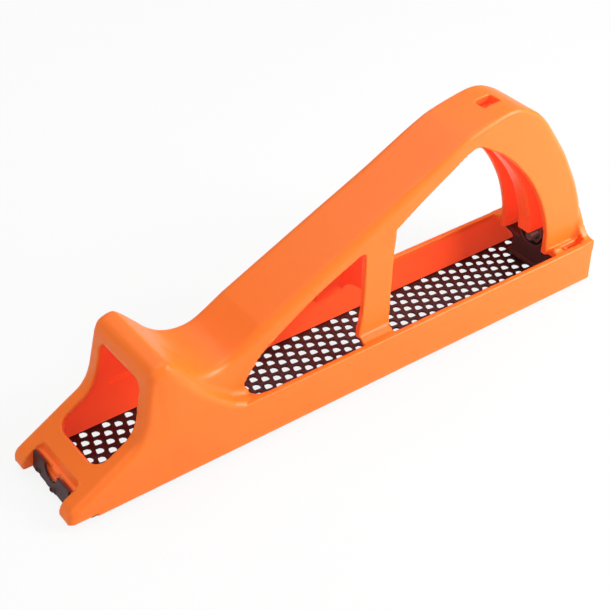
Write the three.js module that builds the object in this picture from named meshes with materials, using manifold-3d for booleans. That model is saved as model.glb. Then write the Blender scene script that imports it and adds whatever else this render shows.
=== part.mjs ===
// Rasp plane: a moulded plastic body that holds a perforated steel rasp blade in tension.
// Millimetres. The nose points to -X, the heel to +X, and the tooth tips stand on Z = 0.
// The blade hooks round a crossbar in the nose. A screw in the heel draws a bracket against its rear tab.

import * as THREE from 'three';
import { mergeVertices } from 'three/addons/utils/BufferGeometryUtils.js';
import Module from 'manifold-3d';

const wasm = await Module();
wasm.setup();

// Sizes shared by the pieces
const seatGap = 0.3;
const overrun = 20;
const weld = 0.0001;
const meshTolerance = 0.003;

// Blade
const bladeLength = 250;
const bladeWidth = 42;
const bladeThickness = 0.9;
const toothDrop = 1.3;
const toothRoot = 1.2;
const holeLength = 3.4;
const holeWidth = 2.9;
const holePitch = 10;
const rowPitch = 2.27;
const rowShift = 4.18;
const rowCount = 17;
const latticeStart = 1.4;
const frontPlain = 5.9;
const rearPlain = 11;
const tabWidth = 26.8;
const tabHeight = 8.3;
const tabLean = 1.2;
const tabNotchRadius = 4.7;
const shoulderSetback = 1;
const rearSetback = 2;

// Body
const wall = 2.6;
const bodyHeight = 94;
const railHeight = 18;
const edgeMargin = 1;
const noseReach = 4;
const tipCut = 2;
const tabClearance = 1.4;
const noseRound = 2.8;
const plumbRound = 2.5;
const skirtSetback = 3;
const railRound = 0.8;
const gripRound = 2.8;
const knobHalf = 20;
const gripHalfFront = 15.6;
const gripHalfRear = 14.1;
const gripDraft = 1.7;
const noseDraft = 1.9;
const ribWidth = 7;
const archRise = 9;
const padRise = 2.2;
const windowHalf = 14.6;
const windowLowRound = 6.5;
const windowHighRound = 4;
const tabSlotHalf = 14;
const tabSlotRound = 2.8;
const slotLean = 1.1;
const crossbarRadius = 2.6;
const ledgeHeight = 7.2;
const ledgeGap = 1.1;
const ledgeDepth = 1.7;
const keyHalf = 2.8;
const keyReach = 0.5;
const topPocketLength = 10.4;
const topPocketWidth = 6.2;
const topPocketDepth = 4;
const heelPocketLength = 10.6;
const heelPocketWidth = 4.4;
const heelPocketDepth = 1.7;
const heelSlitLength = 7;
const gussetRise = 8.6;
const heelSlitWidth = 0.9;

// Tension screw, washer, nut and bracket
const screwRise = 15.9;
const screwRadius = 2.4;
const screwReach = 15.4;
const headRadius = 4.5;
const headHeight = 2.6;
const driveWidth = 1.2;
const driveSpan = 5.4;
const driveDepth = 1.6;
const washerRadius = 5.1;
const washerThickness = 0.8;
const bossRadius = 6.6;
const bossFloor = 2.2;
const headWellRadius = 5.6;
const nutFlats = 8;
const nutThickness = 4;
const runningGap = 0.2;
const bracketSideGap = 0.7;
const bracketHeight = 12.6;
const bracketDepth = 11.2;
const plateThickness = 2;
const footThickness = 2;
const cupRadius = 8.5;
const cupWall = 1.7;
const cupDepth = 8;
const cupLift = 2.3;
const cupLip = 1;

// Derived levels and stations
const bladeTop = toothDrop + bladeThickness;
const bodyFoot = bladeTop + seatGap;
const railTop = bodyFoot + railHeight;
const bodyLength = noseReach + bladeLength + tabClearance + wall;
const bodyHalf = bladeWidth / 2 + edgeMargin;
const innerHalf = bodyHalf - wall;
const bracketWidth = 2 * (innerHalf - bracketSideGap);
const noseTip = -bodyLength / 2;
const heelEnd = bodyLength / 2;
const bladeFront = noseTip + noseReach;
const bladeRear = bladeFront + bladeLength;
const bracketRear = bladeRear - bladeThickness - seatGap;
const bracketFront = bracketRear - bracketDepth;
const screwLevel = bodyFoot + screwRise;
const cupLevel = screwLevel + cupLift;
const cupTop = cupLevel + cupLip;
const crossbarLevel = bodyFoot + crossbarRadius;
const tabRise = bladeTop + tabHeight - toothDrop;
const tabSlope = Math.hypot(tabLean, tabRise) / tabRise;
const tabBackAt = (level) => bladeFront + bladeThickness + tabLean * (level - toothDrop) / tabRise;
const crossbarX = tabBackAt(crossbarLevel) + (seatGap + crossbarRadius) * tabSlope;
const ledgeTop = bodyFoot + ledgeHeight;
const ledgeFront = tabBackAt(ledgeTop) + ledgeGap;
const ledgeRear = ledgeFront + ledgeDepth;
const tabSlotRear = ledgeRear + slotLean;

// Outlines seen from the side, as shares of the length from the nose's sharp point and of the height from the foot.
// The sharp point is where the sloped face would end if the tip were not cut square.
const crownShares = [[0.1503, 0.503], [0.158, 0.529], [0.17, 0.54], [0.183, 0.535], [0.196, 0.474]];
const shoulderShares = [[0.196, 0.474], [0.236, 0.342], [0.285, 0.223]];
const saddleShares = [
  [0.183, 0.533], [0.196, 0.511], [0.211, 0.471], [0.224, 0.431], [0.24, 0.398], [0.258, 0.38],
  [0.277, 0.377], [0.296, 0.388], [0.32, 0.42], [0.35, 0.467],
];
const humpShares = [
  [0.658, 0.868], [0.715, 0.943], [0.742, 0.967], [0.773, 0.986], [0.802, 0.9988], [0.825, 0.996],
  [0.848, 0.971], [0.875, 0.922], [0.903, 0.835], [0.938, 0.694], [0.958, 0.593], [0.98, 0.463],
  [0.9945, 0.335], [1, 0.22],
];
const handHoleShares = [
  [0.5805, 0.19], [0.5834, 0.37], [0.5875, 0.54], [0.5912, 0.667], [0.614, 0.71], [0.648, 0.767], [0.688, 0.828],
  [0.722, 0.878],
  [0.736, 0.891], [0.752, 0.884], [0.779, 0.839], [0.802, 0.796], [0.826, 0.735], [0.85, 0.661],
  [0.872, 0.579], [0.893, 0.474], [0.906, 0.38], [0.915, 0.284],
];
const sideOpeningShares = [
  [0.3195, 0.2], [0.314, 0.218], [0.316, 0.245], [0.33, 0.293], [0.352, 0.357], [0.43, 0.489],
  [0.466, 0.54], [0.505, 0.587], [0.521, 0.607], [0.53, 0.608], [0.5328, 0.594], [0.5317, 0.484],
  [0.53, 0.38], [0.527, 0.3], [0.5215, 0.232],
];
const faceStartShare = 0.0075;
const faceStartRise = 0.049;
const faceEndShare = 0.1135;
const faceEndRise = 0.22;
const faceBendShare = 0.1295;
const faceBendRise = 0.247;
const wallStartShare = 0.1375;
const wallStartRise = 0.321;
const wallEndShare = 0.1503;
const shoulderEndShare = 0.3115;
const gripStartShare = 0.163;
const gripStartRise = 0.502;
const strutFrontShare = 0.5215;
const strutRearShare = 0.5795;
const strutHeadShare = 0.5905;
const strutHeadRise = 0.66;
const legFootShare = 0.921;
const windowLowShare = 0.148;
const windowHighShare = 0.463;
const windowRearShare = 0.17;
const narrowingStartShare = 0.18;
const narrowingEndShare = 0.31;
const topPocketShare = 0.804;
const heelPocketShare = 0.965;
const crownRoundShare = 0.232;
const crownSteps = 8;
const shoulderSteps = 5;
const saddleSteps = 16;
const humpSteps = 24;
const bendSteps = 4;

const shareX = (share) => noseTip - tipCut + share * (bodyLength + tipCut);
const shareZ = (share) => bodyFoot + share * bodyHeight;
const crownWidth = shareX(crownShares[crownShares.length - 1][0]) - shareX(crownShares[0][0]);
const noseEdge = Math.min(noseRound, crownRoundShare * crownWidth);
const gripEdge = Math.min(gripRound, crownRoundShare * crownWidth);
const faceRun = shareX(faceEndShare) - shareX(faceStartShare);
const faceClimb = shareZ(faceEndRise) - shareZ(faceStartRise);
const faceXAt = (level) => shareX(faceStartShare) + (level - shareZ(faceStartRise)) * faceRun / faceClimb;
const faceLevelAt = (x) => shareZ(faceStartRise) + (x - shareX(faceStartShare)) * faceClimb / faceRun;
const placed = (shares) => shares.map(([along, up]) => new THREE.Vector2(shareX(along), shareZ(up)));
const vector = (x, z) => new THREE.Vector2(x, z);

// A smooth curve through a list of shares
function smooth(shares, steps) {
  return new THREE.SplineCurve(placed(shares)).getPoints(steps);
}

// A closed solid from a three.js geometry
function solidOf(geometry) {
  const bare = geometry.clone();
  bare.deleteAttribute('normal');
  bare.deleteAttribute('uv');
  const merged = mergeVertices(bare, weld);
  const mesh = new wasm.Mesh({
    numProp: 3,
    vertProperties: new Float32Array(merged.attributes.position.array),
    triVerts: new Uint32Array(merged.index.array),
  });
  return new wasm.Manifold(mesh);
}

function add(...solids) {
  return solids.reduce((sum, solid) => sum.add(solid));
}

function cut(solid, ...tools) {
  return tools.reduce((left, tool) => left.subtract(tool), solid);
}

// A named mesh from a solid, with its material. Edges shorter than the tolerance close up.
function meshOf(name, solid, material) {
  const { vertProperties, triVerts } = solid.simplify(meshTolerance).getMesh();
  const geometry = new THREE.BufferGeometry();
  geometry.setAttribute('position', new THREE.BufferAttribute(new Float32Array(vertProperties), 3));
  geometry.setIndex(new THREE.BufferAttribute(new Uint32Array(triVerts), 1));
  geometry.computeVertexNormals();
  const mesh = new THREE.Mesh(geometry, material);
  mesh.name = name;
  return mesh;
}

// A side outline carried across the width, with its long edges rounded and its points moved by shift
function acrossWidth(outline, half, round = 0, steps = 3, shift = null) {
  const settings = { depth: 2 * (half - round), bevelEnabled: false };
  if (round > 0) {
    Object.assign(settings, {
      bevelEnabled: true, bevelThickness: round, bevelSize: round, bevelOffset: -round, bevelSegments: steps,
    });
  }
  const geometry = new THREE.ExtrudeGeometry(new THREE.Shape(outline), settings);
  geometry.translate(0, 0, -(half - round));
  geometry.rotateX(Math.PI / 2);
  if (shift) {
    const place = geometry.attributes.position;
    for (let i = 0; i < place.count; i += 1) {
      place.setY(i, place.getY(i) * shift(place.getX(i), place.getZ(i)));
    }
  }
  return solidOf(geometry);
}

// A front outline in Y and Z carried from one station in X to another
function alongLength(shape, from, to) {
  const geometry = new THREE.ExtrudeGeometry(shape, { depth: to - from, bevelEnabled: false });
  geometry.rotateX(Math.PI / 2);
  geometry.rotateZ(Math.PI / 2);
  geometry.translate(from, 0, 0);
  return solidOf(geometry);
}

// A plan outline in X and Y carried from one level to another
function upward(shape, low, high) {
  const geometry = new THREE.ExtrudeGeometry(shape, { depth: high - low, bevelEnabled: false, curveSegments: 5 });
  geometry.translate(0, 0, low);
  return solidOf(geometry);
}

function box(fromX, toX, fromY, toY, low, high) {
  const geometry = new THREE.BoxGeometry(toX - fromX, toY - fromY, high - low);
  geometry.translate((fromX + toX) / 2, (fromY + toY) / 2, (low + high) / 2);
  return solidOf(geometry);
}

// A round bar along X
function barX(radius, from, to, level, sides = 24, turn = 0) {
  const geometry = new THREE.CylinderGeometry(radius, radius, to - from, sides);
  geometry.rotateY(turn);
  geometry.rotateZ(Math.PI / 2);
  geometry.translate((from + to) / 2, 0, level);
  return solidOf(geometry);
}

// A round bar along Y
function barY(radius, half, x, level, sides = 20) {
  const geometry = new THREE.CylinderGeometry(radius, radius, 2 * half, sides);
  geometry.translate(x, 0, 0);
  const solid = solidOf(geometry);
  return solid.translate([0, 0, level]);
}

// An outline drawn in by the wall's thickness: each edge moves in, and neighbours meet again
function drawnIn(outline, distance) {
  const turning = Math.sign(THREE.ShapeUtils.area(outline));
  const edges = outline.map((start, i) => {
    const end = outline[(i + 1) % outline.length];
    const along = end.clone().sub(start).normalize();
    const inward = vector(-along.y, along.x).multiplyScalar(turning * distance);
    return { point: start.clone().add(inward), along };
  });
  return cornersOf(edges);
}

// The corners of a ring of lines. A line that has closed up between its neighbours drops out.
function cornersOf(edges) {
  const corners = edges.map((edge, i) => {
    const before = edges[(i + edges.length - 1) % edges.length];
    const cross = before.along.x * edge.along.y - before.along.y * edge.along.x;
    if (Math.abs(cross) < weld) {
      return edge.point.clone();
    }
    const gap = edge.point.clone().sub(before.point);
    const reach = (gap.x * edge.along.y - gap.y * edge.along.x) / cross;
    return before.point.clone().addScaledVector(before.along, reach);
  });
  const open = edges.filter((edge, i) => corners[(i + 1) % edges.length].clone().sub(corners[i]).dot(edge.along) > 0);
  return open.length === edges.length ? corners : cornersOf(open);
}

// Half the grip's width at a place: it narrows behind the knob, towards the heel and towards the top
function gripHalf(x, z) {
  const along = THREE.MathUtils.clamp((x - shareX(strutFrontShare)) / (heelEnd - shareX(strutFrontShare)), 0, 1);
  const grip = THREE.MathUtils.lerp(gripHalfFront, gripHalfRear, along);
  const knob = 1 - THREE.MathUtils.smoothstep(x, shareX(narrowingStartShare), shareX(narrowingEndShare));
  const rise = THREE.MathUtils.clamp((z - railTop) / (bodyFoot + bodyHeight - railTop), 0, 1);
  return THREE.MathUtils.lerp(grip, knobHalf, knob) - gripDraft * rise * (1 - knob);
}

const gripTaper = (x, z) => gripHalf(x, z) / gripHalfFront;

// The same taper for the hollow inside, which keeps the wall's thickness
const gripHollowTaper = (x, z) => (gripHalf(x, z) - wall) / (gripHalfFront - wall);

// The nose narrows a little from the rails to the knob's top
function noseTaper(x, z) {
  const rise = THREE.MathUtils.clamp((z - railTop) / (bodyFoot + bodyHeight - railTop), 0, 1);
  return 1 - 2 * noseDraft * rise / bodyHalf;
}

// The nose: a sloped face, a knob with a steep front and a shoulder that falls to the rails
function noseOutline(rearX, footLevel) {
  const bend = new THREE.QuadraticBezierCurve(
    vector(shareX(faceEndShare), shareZ(faceEndRise)),
    vector(shareX(faceBendShare), shareZ(faceBendRise)),
    vector(shareX(wallStartShare), shareZ(wallStartRise)),
  );
  const points = [
    vector(faceXAt(footLevel), footLevel),
    ...bend.getPoints(bendSteps),
    ...smooth(crownShares, crownSteps),
    ...smooth(shoulderShares, shoulderSteps).slice(1),
    vector(shareX(shoulderEndShare), railTop),
  ];
  if (rearX > shareX(shoulderEndShare)) {
    points.push(vector(rearX, railTop));
  }
  points.push(vector(points[points.length - 1].x, footLevel));
  return points;
}

// The grip: saddle, straight rising bar, hump and rear leg, closed along its underside
function gripOutline(footLevel) {
  return [
    vector(shareX(gripStartShare), footLevel),
    vector(shareX(gripStartShare), shareZ(gripStartRise)),
    ...smooth(saddleShares, saddleSteps),
    ...smooth(humpShares, humpSteps),
    vector(heelEnd, footLevel),
  ];
}

// An opening through both sides, carried down past the grip's underside
function sideCutter(shares, margin = 0) {
  const points = placed(shares);
  const under = railTop - overrun;
  const outline = [vector(points[0].x, under), ...points, vector(points[points.length - 1].x, under)];
  return acrossWidth(margin > 0 ? drawnIn(outline, margin) : outline, bodyHalf + overrun);
}

function roundedRectangle(halfY, low, high, lowRound, highRound) {
  const shape = new THREE.Shape();
  shape.moveTo(-halfY + lowRound, low);
  shape.lineTo(halfY - lowRound, low);
  shape.absarc(halfY - lowRound, low + lowRound, lowRound, -Math.PI / 2, 0);
  shape.lineTo(halfY, high - highRound);
  shape.absarc(halfY - highRound, high - highRound, highRound, 0, Math.PI / 2);
  shape.lineTo(-halfY + highRound, high);
  shape.absarc(-halfY + highRound, high - highRound, highRound, Math.PI / 2, Math.PI);
  shape.lineTo(-halfY, low + lowRound);
  shape.absarc(-halfY + lowRound, low + lowRound, lowRound, Math.PI, 1.5 * Math.PI);
  return new THREE.Shape(shape.getPoints(4));
}

// A plan rectangle with two rounded corners at its nose end or its other end
function planRectangle(fromX, toX, half, round) {
  const shape = new THREE.Shape();
  const inner = toX - Math.sign(toX - fromX) * round;
  const turn = toX > fromX;
  shape.moveTo(fromX, -half);
  shape.lineTo(inner, -half);
  shape.absarc(inner, -half + round, round, -Math.PI / 2, turn ? 0 : -Math.PI, !turn);
  shape.lineTo(toX, half - round);
  shape.absarc(inner, half - round, round, turn ? 0 : Math.PI, Math.PI / 2, !turn);
  shape.lineTo(fromX, half);
  return shape;
}

// The nose shell: solid prongs at the front, hollow behind them
function noseBlock() {
  const outline = noseOutline(shareX(shoulderEndShare), bodyFoot - 2 * noseRound);
  const solid = acrossWidth(outline, bodyHalf, noseEdge, 3, noseTaper);
  const plan = upward(planRectangle(heelEnd, noseTip, bodyHalf, plumbRound), bodyFoot, bodyFoot + bodyHeight);
  return solid.intersect(plan);
}

function noseHollow() {
  const outline = drawnIn(noseOutline(shareX(sideOpeningShares[4][0]), bodyFoot - overrun), wall);
  const hollow = acrossWidth(outline, innerHalf, 0, 0, noseTaper);
  const front = box(noseTip - overrun, tabSlotRear + wall, -bodyHalf, bodyHalf, bodyFoot - 2 * overrun, bodyFoot + bodyHeight);
  return cut(hollow, front);
}

const gripFoot = railTop - wall;

function gripBlock() {
  return acrossWidth(gripOutline(gripFoot - gripRound), gripHalfFront, gripEdge, 3, gripTaper)
    .intersect(box(noseTip, heelEnd, -bodyHalf, bodyHalf, gripFoot, bodyFoot + bodyHeight));
}

function gripHollow() {
  return acrossWidth(drawnIn(gripOutline(bodyFoot - overrun), wall), gripHalfFront - wall, 0, 0, gripHollowTaper);
}

// The two rails and the heel wall, open below and above
function rails() {
  const start = shareX(wallEndShare);
  const outer = box(start, heelEnd, -bodyHalf, bodyHalf, bodyFoot, railTop);
  const inner = box(start - wall, heelEnd - wall, -innerHalf, innerHalf, bodyFoot - wall, railTop + wall);
  return outer.subtract(inner);
}

// The thin skirt below the rails and the heel wall, outside the blade's edges
function skirt() {
  const bayHalf = bladeWidth / 2 + seatGap;
  const outer = box(crossbarX + skirtSetback, heelEnd, -bodyHalf, bodyHalf, toothDrop, bodyFoot + seatGap);
  const bay = box(crossbarX, heelEnd - wall, -bayHalf, bayHalf, toothDrop - wall, bodyFoot + wall);
  return outer.subtract(bay);
}

// The flat ledge beside the leg's foot, with a shallow pocket each side
function heelLedge() {
  const plate = box(shareX(legFootShare), heelEnd, -bodyHalf, bodyHalf, railTop - wall, railTop);
  return plate;
}

function heelPockets() {
  const middle = shareX(heelPocketShare);
  const beside = gripHalfRear + heelPocketWidth / 2 + seatGap;
  const tools = [];
  for (const side of [-1, 1]) {
    const y = side * beside;
    tools.push(box(
      middle - heelPocketLength / 2, middle + heelPocketLength / 2,
      y - heelPocketWidth / 2, y + heelPocketWidth / 2, railTop - heelPocketDepth, railTop + overrun,
    ));
    const slitY = y + side * (heelPocketWidth - heelSlitWidth) / 2;
    tools.push(box(
      middle - heelSlitLength / 2, middle + heelSlitLength / 2,
      slitY - heelSlitWidth / 2, slitY + heelSlitWidth / 2, railTop - 2 * wall, railTop,
    ));
  }
  return tools;
}

// Gussets at the heel's rear edge: from the rails' corners they rise to the leg
function heelGussets() {
  const inside = gripHalfRear - wall;
  const shape = new THREE.Shape([
    vector(inside, railTop - wall), vector(bodyHalf - wall / 2, railTop - wall), vector(bodyHalf - wall / 2, railTop - seatGap),
    vector(bodyHalf - seatGap, railTop), vector(inside, railTop + gussetRise),
  ]);
  const gusset = alongLength(shape, heelEnd - wall, heelEnd);
  return gusset.add(gusset.mirror([0, 1, 0]));
}

// Sloped pads that carry the struts' feet on the rails
function strutPads() {
  const inside = gripHalfFront - wall;
  const shape = new THREE.Shape([
    vector(inside, railTop - wall), vector(bodyHalf - wall / 2, railTop - wall), vector(bodyHalf - wall / 2, railTop - seatGap),
    vector(innerHalf, railTop), vector(gripHalfFront, railTop + padRise), vector(inside, railTop + padRise),
  ]);
  const pad = alongLength(shape, shareX(strutFrontShare), shareX(strutRearShare));
  return pad.add(pad.mirror([0, 1, 0]));
}

// The web across the strut's rear edge, arched over the blade
function strutWeb() {
  const rear = [
    vector(shareX(strutRearShare), railTop),
    vector(shareX(strutHeadShare), shareZ(strutHeadRise)),
    vector(shareX(strutHeadShare), shareZ(1)),
  ];
  const front = rear.map((point) => vector(point.x - wall, point.y)).reverse();
  const web = acrossWidth([...rear, ...front], bodyHalf);
  const archHalf = gripHalfFront - wall;
  const arch = new THREE.CylinderGeometry(1, 1, bodyLength, 24);
  arch.rotateZ(Math.PI / 2);
  arch.scale(1, archHalf, archRise);
  arch.translate(0, 0, railTop);
  return web.subtract(solidOf(arch));
}

// The middle rib under the grip and down the leg, ending above the bracket's cup
function middleRib() {
  const slab = acrossWidth(gripOutline(gripFoot), ribWidth / 2);
  const under = box(noseTip, heelEnd, -bodyHalf, bodyHalf, bodyFoot, cupTop + cupLip + seatGap);
  const front = box(noseTip, shareX(strutHeadShare) - wall, -bodyHalf, bodyHalf, bodyFoot, bodyFoot + bodyHeight);
  return cut(slab, sideCutter(handHoleShares), under, front);
}

// The crossbar that the blade's front tab hooks round, with the shelf above it and the sloped wall behind the slot.
// A key on the shelf stands in the tab's notch.
function crossbar() {
  const rear = tabSlotRear + wall;
  const half = tabSlotHalf + wall;
  const bar = barY(crossbarRadius, half, crossbarX, crossbarLevel);
  const back = box(crossbarX, rear, -half, half, bodyFoot, ledgeTop);
  const shelf = box(ledgeFront, rear, -half, half, crossbarLevel, ledgeTop);
  const key = box(ledgeFront - keyReach, rear, -keyHalf, keyHalf, crossbarLevel, ledgeTop);
  const slopeTop = faceLevelAt(tabSlotRear) - seatGap;
  const slope = acrossWidth([
    vector(ledgeRear, ledgeTop - seatGap), vector(rear, ledgeTop - seatGap),
    vector(rear, slopeTop), vector(tabSlotRear + seatGap, slopeTop), vector(ledgeRear, ledgeTop),
  ], half);
  return add(bar, back, shelf, key, slope);
}

// The window in the nose: its lower edge is cut square to the sloped face
function windowCutter() {
  const lowLevel = shareZ(windowLowShare);
  const tilt = 90 - THREE.MathUtils.radToDeg(Math.atan2(faceClimb, faceRun));
  const lower = alongLength(
    roundedRectangle(windowHalf, 0, bodyHeight, windowLowRound, windowLowRound), -bodyHeight, bodyHeight,
  ).rotate([0, tilt, 0]).translate([faceXAt(lowLevel), 0, lowLevel]);
  const upper = alongLength(
    roundedRectangle(windowHalf, bodyFoot - overrun, shareZ(windowHighShare), windowLowRound, windowHighRound),
    noseTip - overrun, shareX(windowRearShare),
  );
  return lower.intersect(upper);
}

// The boss in the heel wall, with a well for the screw's head and a hole for its shank
function screwBoss() {
  const wellFloor = heelEnd - headHeight - washerThickness - 2 * seatGap;
  const solid = barX(bossRadius, wellFloor - bossFloor, heelEnd, screwLevel);
  const well = barX(headWellRadius, wellFloor, heelEnd + overrun, screwLevel);
  const hole = barX(screwRadius + 2 * seatGap, wellFloor - overrun, heelEnd, screwLevel);
  return { solid, tools: [well, hole] };
}

function body() {
  const gripShell = cut(gripBlock(), sideCutter(handHoleShares), sideCutter(sideOpeningShares));
  const shell = cut(noseBlock().add(gripShell), noseHollow(), gripHollow());
  const ledge = cut(heelLedge(), gripHollow());
  const gussets = cut(heelGussets(), gripHollow());
  const web = strutWeb().intersect(gripBlock());
  const boss = screwBoss();
  const tabSlot = upward(
    planRectangle(noseTip - overrun, tabSlotRear, tabSlotHalf, tabSlotRound), bodyFoot - overrun, bodyFoot + bodyHeight,
  );
  const topPocket = box(
    shareX(topPocketShare) - topPocketLength / 2, shareX(topPocketShare) + topPocketLength / 2,
    -topPocketWidth / 2, topPocketWidth / 2, bodyFoot + bodyHeight - topPocketDepth, bodyFoot + bodyHeight + overrun,
  );
  const cutNose = cut(shell, tabSlot, windowCutter());
  const whole = add(cutNose, rails(), skirt(), ledge, gussets, strutPads(), web, middleRib(), crossbar(), boss.solid);
  return cut(whole, ...boss.tools, ...heelPockets(), topPocket);
}

// One punched hole: a triangle that widens towards the nose, and the tooth pressed down at its wide end
function holeCutter(x, y) {
  const shape = new THREE.Shape([
    vector(x, y - holeWidth / 2), vector(x + holeLength, y), vector(x, y + holeWidth / 2),
  ]);
  return upward(shape, toothDrop - bladeThickness, bladeTop + bladeThickness);
}

function tooth(x, y) {
  const root = toothDrop + bladeThickness / 2;
  const corners = [
    [x, y - holeWidth / 2, root], [x, y + holeWidth / 2, root],
    [x - toothRoot, y, root], [x, y, 0],
  ];
  const faces = [0, 1, 2, 1, 0, 3, 2, 1, 3, 0, 2, 3];
  const geometry = new THREE.BufferGeometry();
  geometry.setAttribute('position', new THREE.Float32BufferAttribute(corners.flat(), 3));
  geometry.setIndex(faces);
  return solidOf(geometry);
}

// Where the punched holes stand: straight rows along the blade, each shifted along from the last
function holePlaces() {
  const first = bladeFront + latticeStart;
  const nearest = bladeFront + frontPlain;
  const last = bladeRear - rearPlain - holeLength;
  const places = [];
  for (let row = 0; row < rowCount; row += 1) {
    const y = (row - (rowCount - 1) / 2) * rowPitch;
    const shift = ((rowCount - 1 - row) * rowShift) % holePitch;
    for (let x = first + shift; x <= last; x += holePitch) {
      const beside = x - toothRoot > crossbarX + shoulderSetback;
      if (beside || (x >= nearest && Math.abs(y) + holeWidth < tabWidth / 2)) {
        places.push([x, y]);
      }
    }
  }
  return places;
}

// An end tab of the blade, turned up and leaning, with a half-round notch in its top edge
function endTab(footX, lean) {
  const low = toothDrop;
  const high = bladeTop + tabHeight;
  const outline = [
    vector(footX, low), vector(footX + bladeThickness, low),
    vector(footX + bladeThickness + lean, high), vector(footX + lean, high),
  ];
  const notch = barX(tabNotchRadius, footX - overrun, footX + overrun, high);
  return acrossWidth(outline, tabWidth / 2).subtract(notch);
}

// The sheet's four corners are cut back, so that only the tabs reach its ends
function cornerCutters() {
  const shoulder = crossbarX + shoulderSetback;
  const rearEdge = bladeRear - rearSetback;
  const low = toothDrop - overrun;
  const high = bladeTop + overrun;
  const front = box(bladeFront - overrun, shoulder, tabWidth / 2, bladeWidth, low, high);
  const rear = box(rearEdge, bladeRear + overrun, tabWidth / 2, bladeWidth, low, high);
  return [front, front.mirror([0, 1, 0]), rear, rear.mirror([0, 1, 0])];
}

function blade() {
  const plate = box(bladeFront, bladeRear, -bladeWidth / 2, bladeWidth / 2, toothDrop, bladeTop);
  const places = holePlaces();
  const holes = wasm.Manifold.union(places.map(([x, y]) => holeCutter(x, y)));
  const teeth = wasm.Manifold.union(places.map(([x, y]) => tooth(x, y)));
  const sheet = cut(plate, ...cornerCutters(), holes);
  return add(sheet, teeth, endTab(bladeFront, tabLean), endTab(bladeRear - bladeThickness, 0));
}

// A U outline in Y and Z: a half round with straight sides up to the cup's top
function cupShape(radius) {
  const shape = new THREE.Shape();
  shape.moveTo(radius, cupTop);
  shape.lineTo(-radius, cupTop);
  shape.lineTo(-radius, cupLevel);
  shape.absarc(0, cupLevel, radius, Math.PI, 2 * Math.PI);
  return new THREE.Shape(shape.getPoints(9));
}

// The tension bracket: an upright plate with a cup for the nut, and a foot that bears on the blade's rear tab
function tensionBracket() {
  const low = bladeTop + seatGap;
  const cupRear = bracketFront + cupDepth;
  const upright = box(
    bracketFront, bracketFront + plateThickness, -bracketWidth / 2, bracketWidth / 2, low, low + bracketHeight,
  );
  const foot = box(bracketFront, bracketRear, -tabWidth / 2, tabWidth / 2, low, low + footThickness);
  const cup = alongLength(cupShape(cupRadius), bracketFront, cupRear);
  const hollow = alongLength(cupShape(cupRadius - cupWall), bracketFront - overrun, cupRear - cupWall);
  const slotHalf = screwRadius + seatGap;
  const hole = barX(slotHalf, bracketFront - overrun, cupRear + overrun, screwLevel);
  const slot = box(
    bracketFront - overrun, cupRear + overrun, -slotHalf, slotHalf, screwLevel, cupTop + overrun,
  );
  const above = box(
    bracketFront - overrun, cupRear - cupWall, -cupRadius + cupWall, cupRadius - cupWall, cupLevel, cupTop + overrun,
  );
  return cut(add(upright, foot, cup), hollow, hole, slot, above);
}

function tensionNut() {
  const rear = bracketFront + cupDepth - cupWall - seatGap;
  const corner = nutFlats / 2 / Math.cos(Math.PI / 6);
  const hex = barX(corner, rear - nutThickness, rear, screwLevel, 6, Math.PI / 6);
  return hex.subtract(barX(screwRadius + runningGap, rear - overrun, rear + overrun, screwLevel));
}

// The tension screw: a round head with a cross drive, and a shank that reaches through the nut
function tensionScrew() {
  const headFront = heelEnd - headHeight;
  const head = barX(headRadius, headFront, heelEnd, screwLevel);
  const shank = barX(screwRadius, headFront - screwReach, headFront + headHeight / 2, screwLevel);
  const floor = heelEnd - driveDepth;
  const wide = driveSpan / 2;
  const narrow = driveWidth / 2;
  const acrossSlot = box(floor, heelEnd + overrun, -wide, wide, screwLevel - narrow, screwLevel + narrow);
  const upSlot = box(floor, heelEnd + overrun, -narrow, narrow, screwLevel - wide, screwLevel + wide);
  return cut(head.add(shank), acrossSlot, upSlot);
}

function screwWasher() {
  const rear = heelEnd - headHeight - seatGap;
  const disc = barX(washerRadius, rear - washerThickness, rear, screwLevel);
  return disc.subtract(barX(screwRadius + runningGap, rear - overrun, rear + overrun, screwLevel));
}

// Materials
const orangePlastic = new THREE.MeshStandardMaterial({ color: 0xff7a2e, roughness: 0.45, metalness: 0 });
const rolledSteel = new THREE.MeshStandardMaterial({ color: 0x3c1a1c, roughness: 0.45, metalness: 0.7 });
const stampedSteel = new THREE.MeshStandardMaterial({ color: 0x3a2422, roughness: 0.5, metalness: 0.7 });
const platedSteel = new THREE.MeshStandardMaterial({ color: 0x55504e, roughness: 0.4, metalness: 0.8 });

const raspPlane = new THREE.Group();
raspPlane.add(meshOf('body', body(), orangePlastic));
raspPlane.add(meshOf('rasp_blade', blade(), rolledSteel));
raspPlane.add(meshOf('tension_bracket', tensionBracket(), stampedSteel));
raspPlane.add(meshOf('tension_nut', tensionNut(), platedSteel));
raspPlane.add(meshOf('tension_screw', tensionScrew(), platedSteel));
raspPlane.add(meshOf('screw_washer', screwWasher(), platedSteel));

export default raspPlane;
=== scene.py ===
"""Rasp plane: the looks of a moulded plastic plane body with its punched steel blade and its tensioner.

The camera's place and the pieces are written in millimetres and turned to metres where they are used.
The lamps and the floor are written in metres.
"""

import bmesh
import bpy
import numpy as np
from mathutils import Matrix


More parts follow.
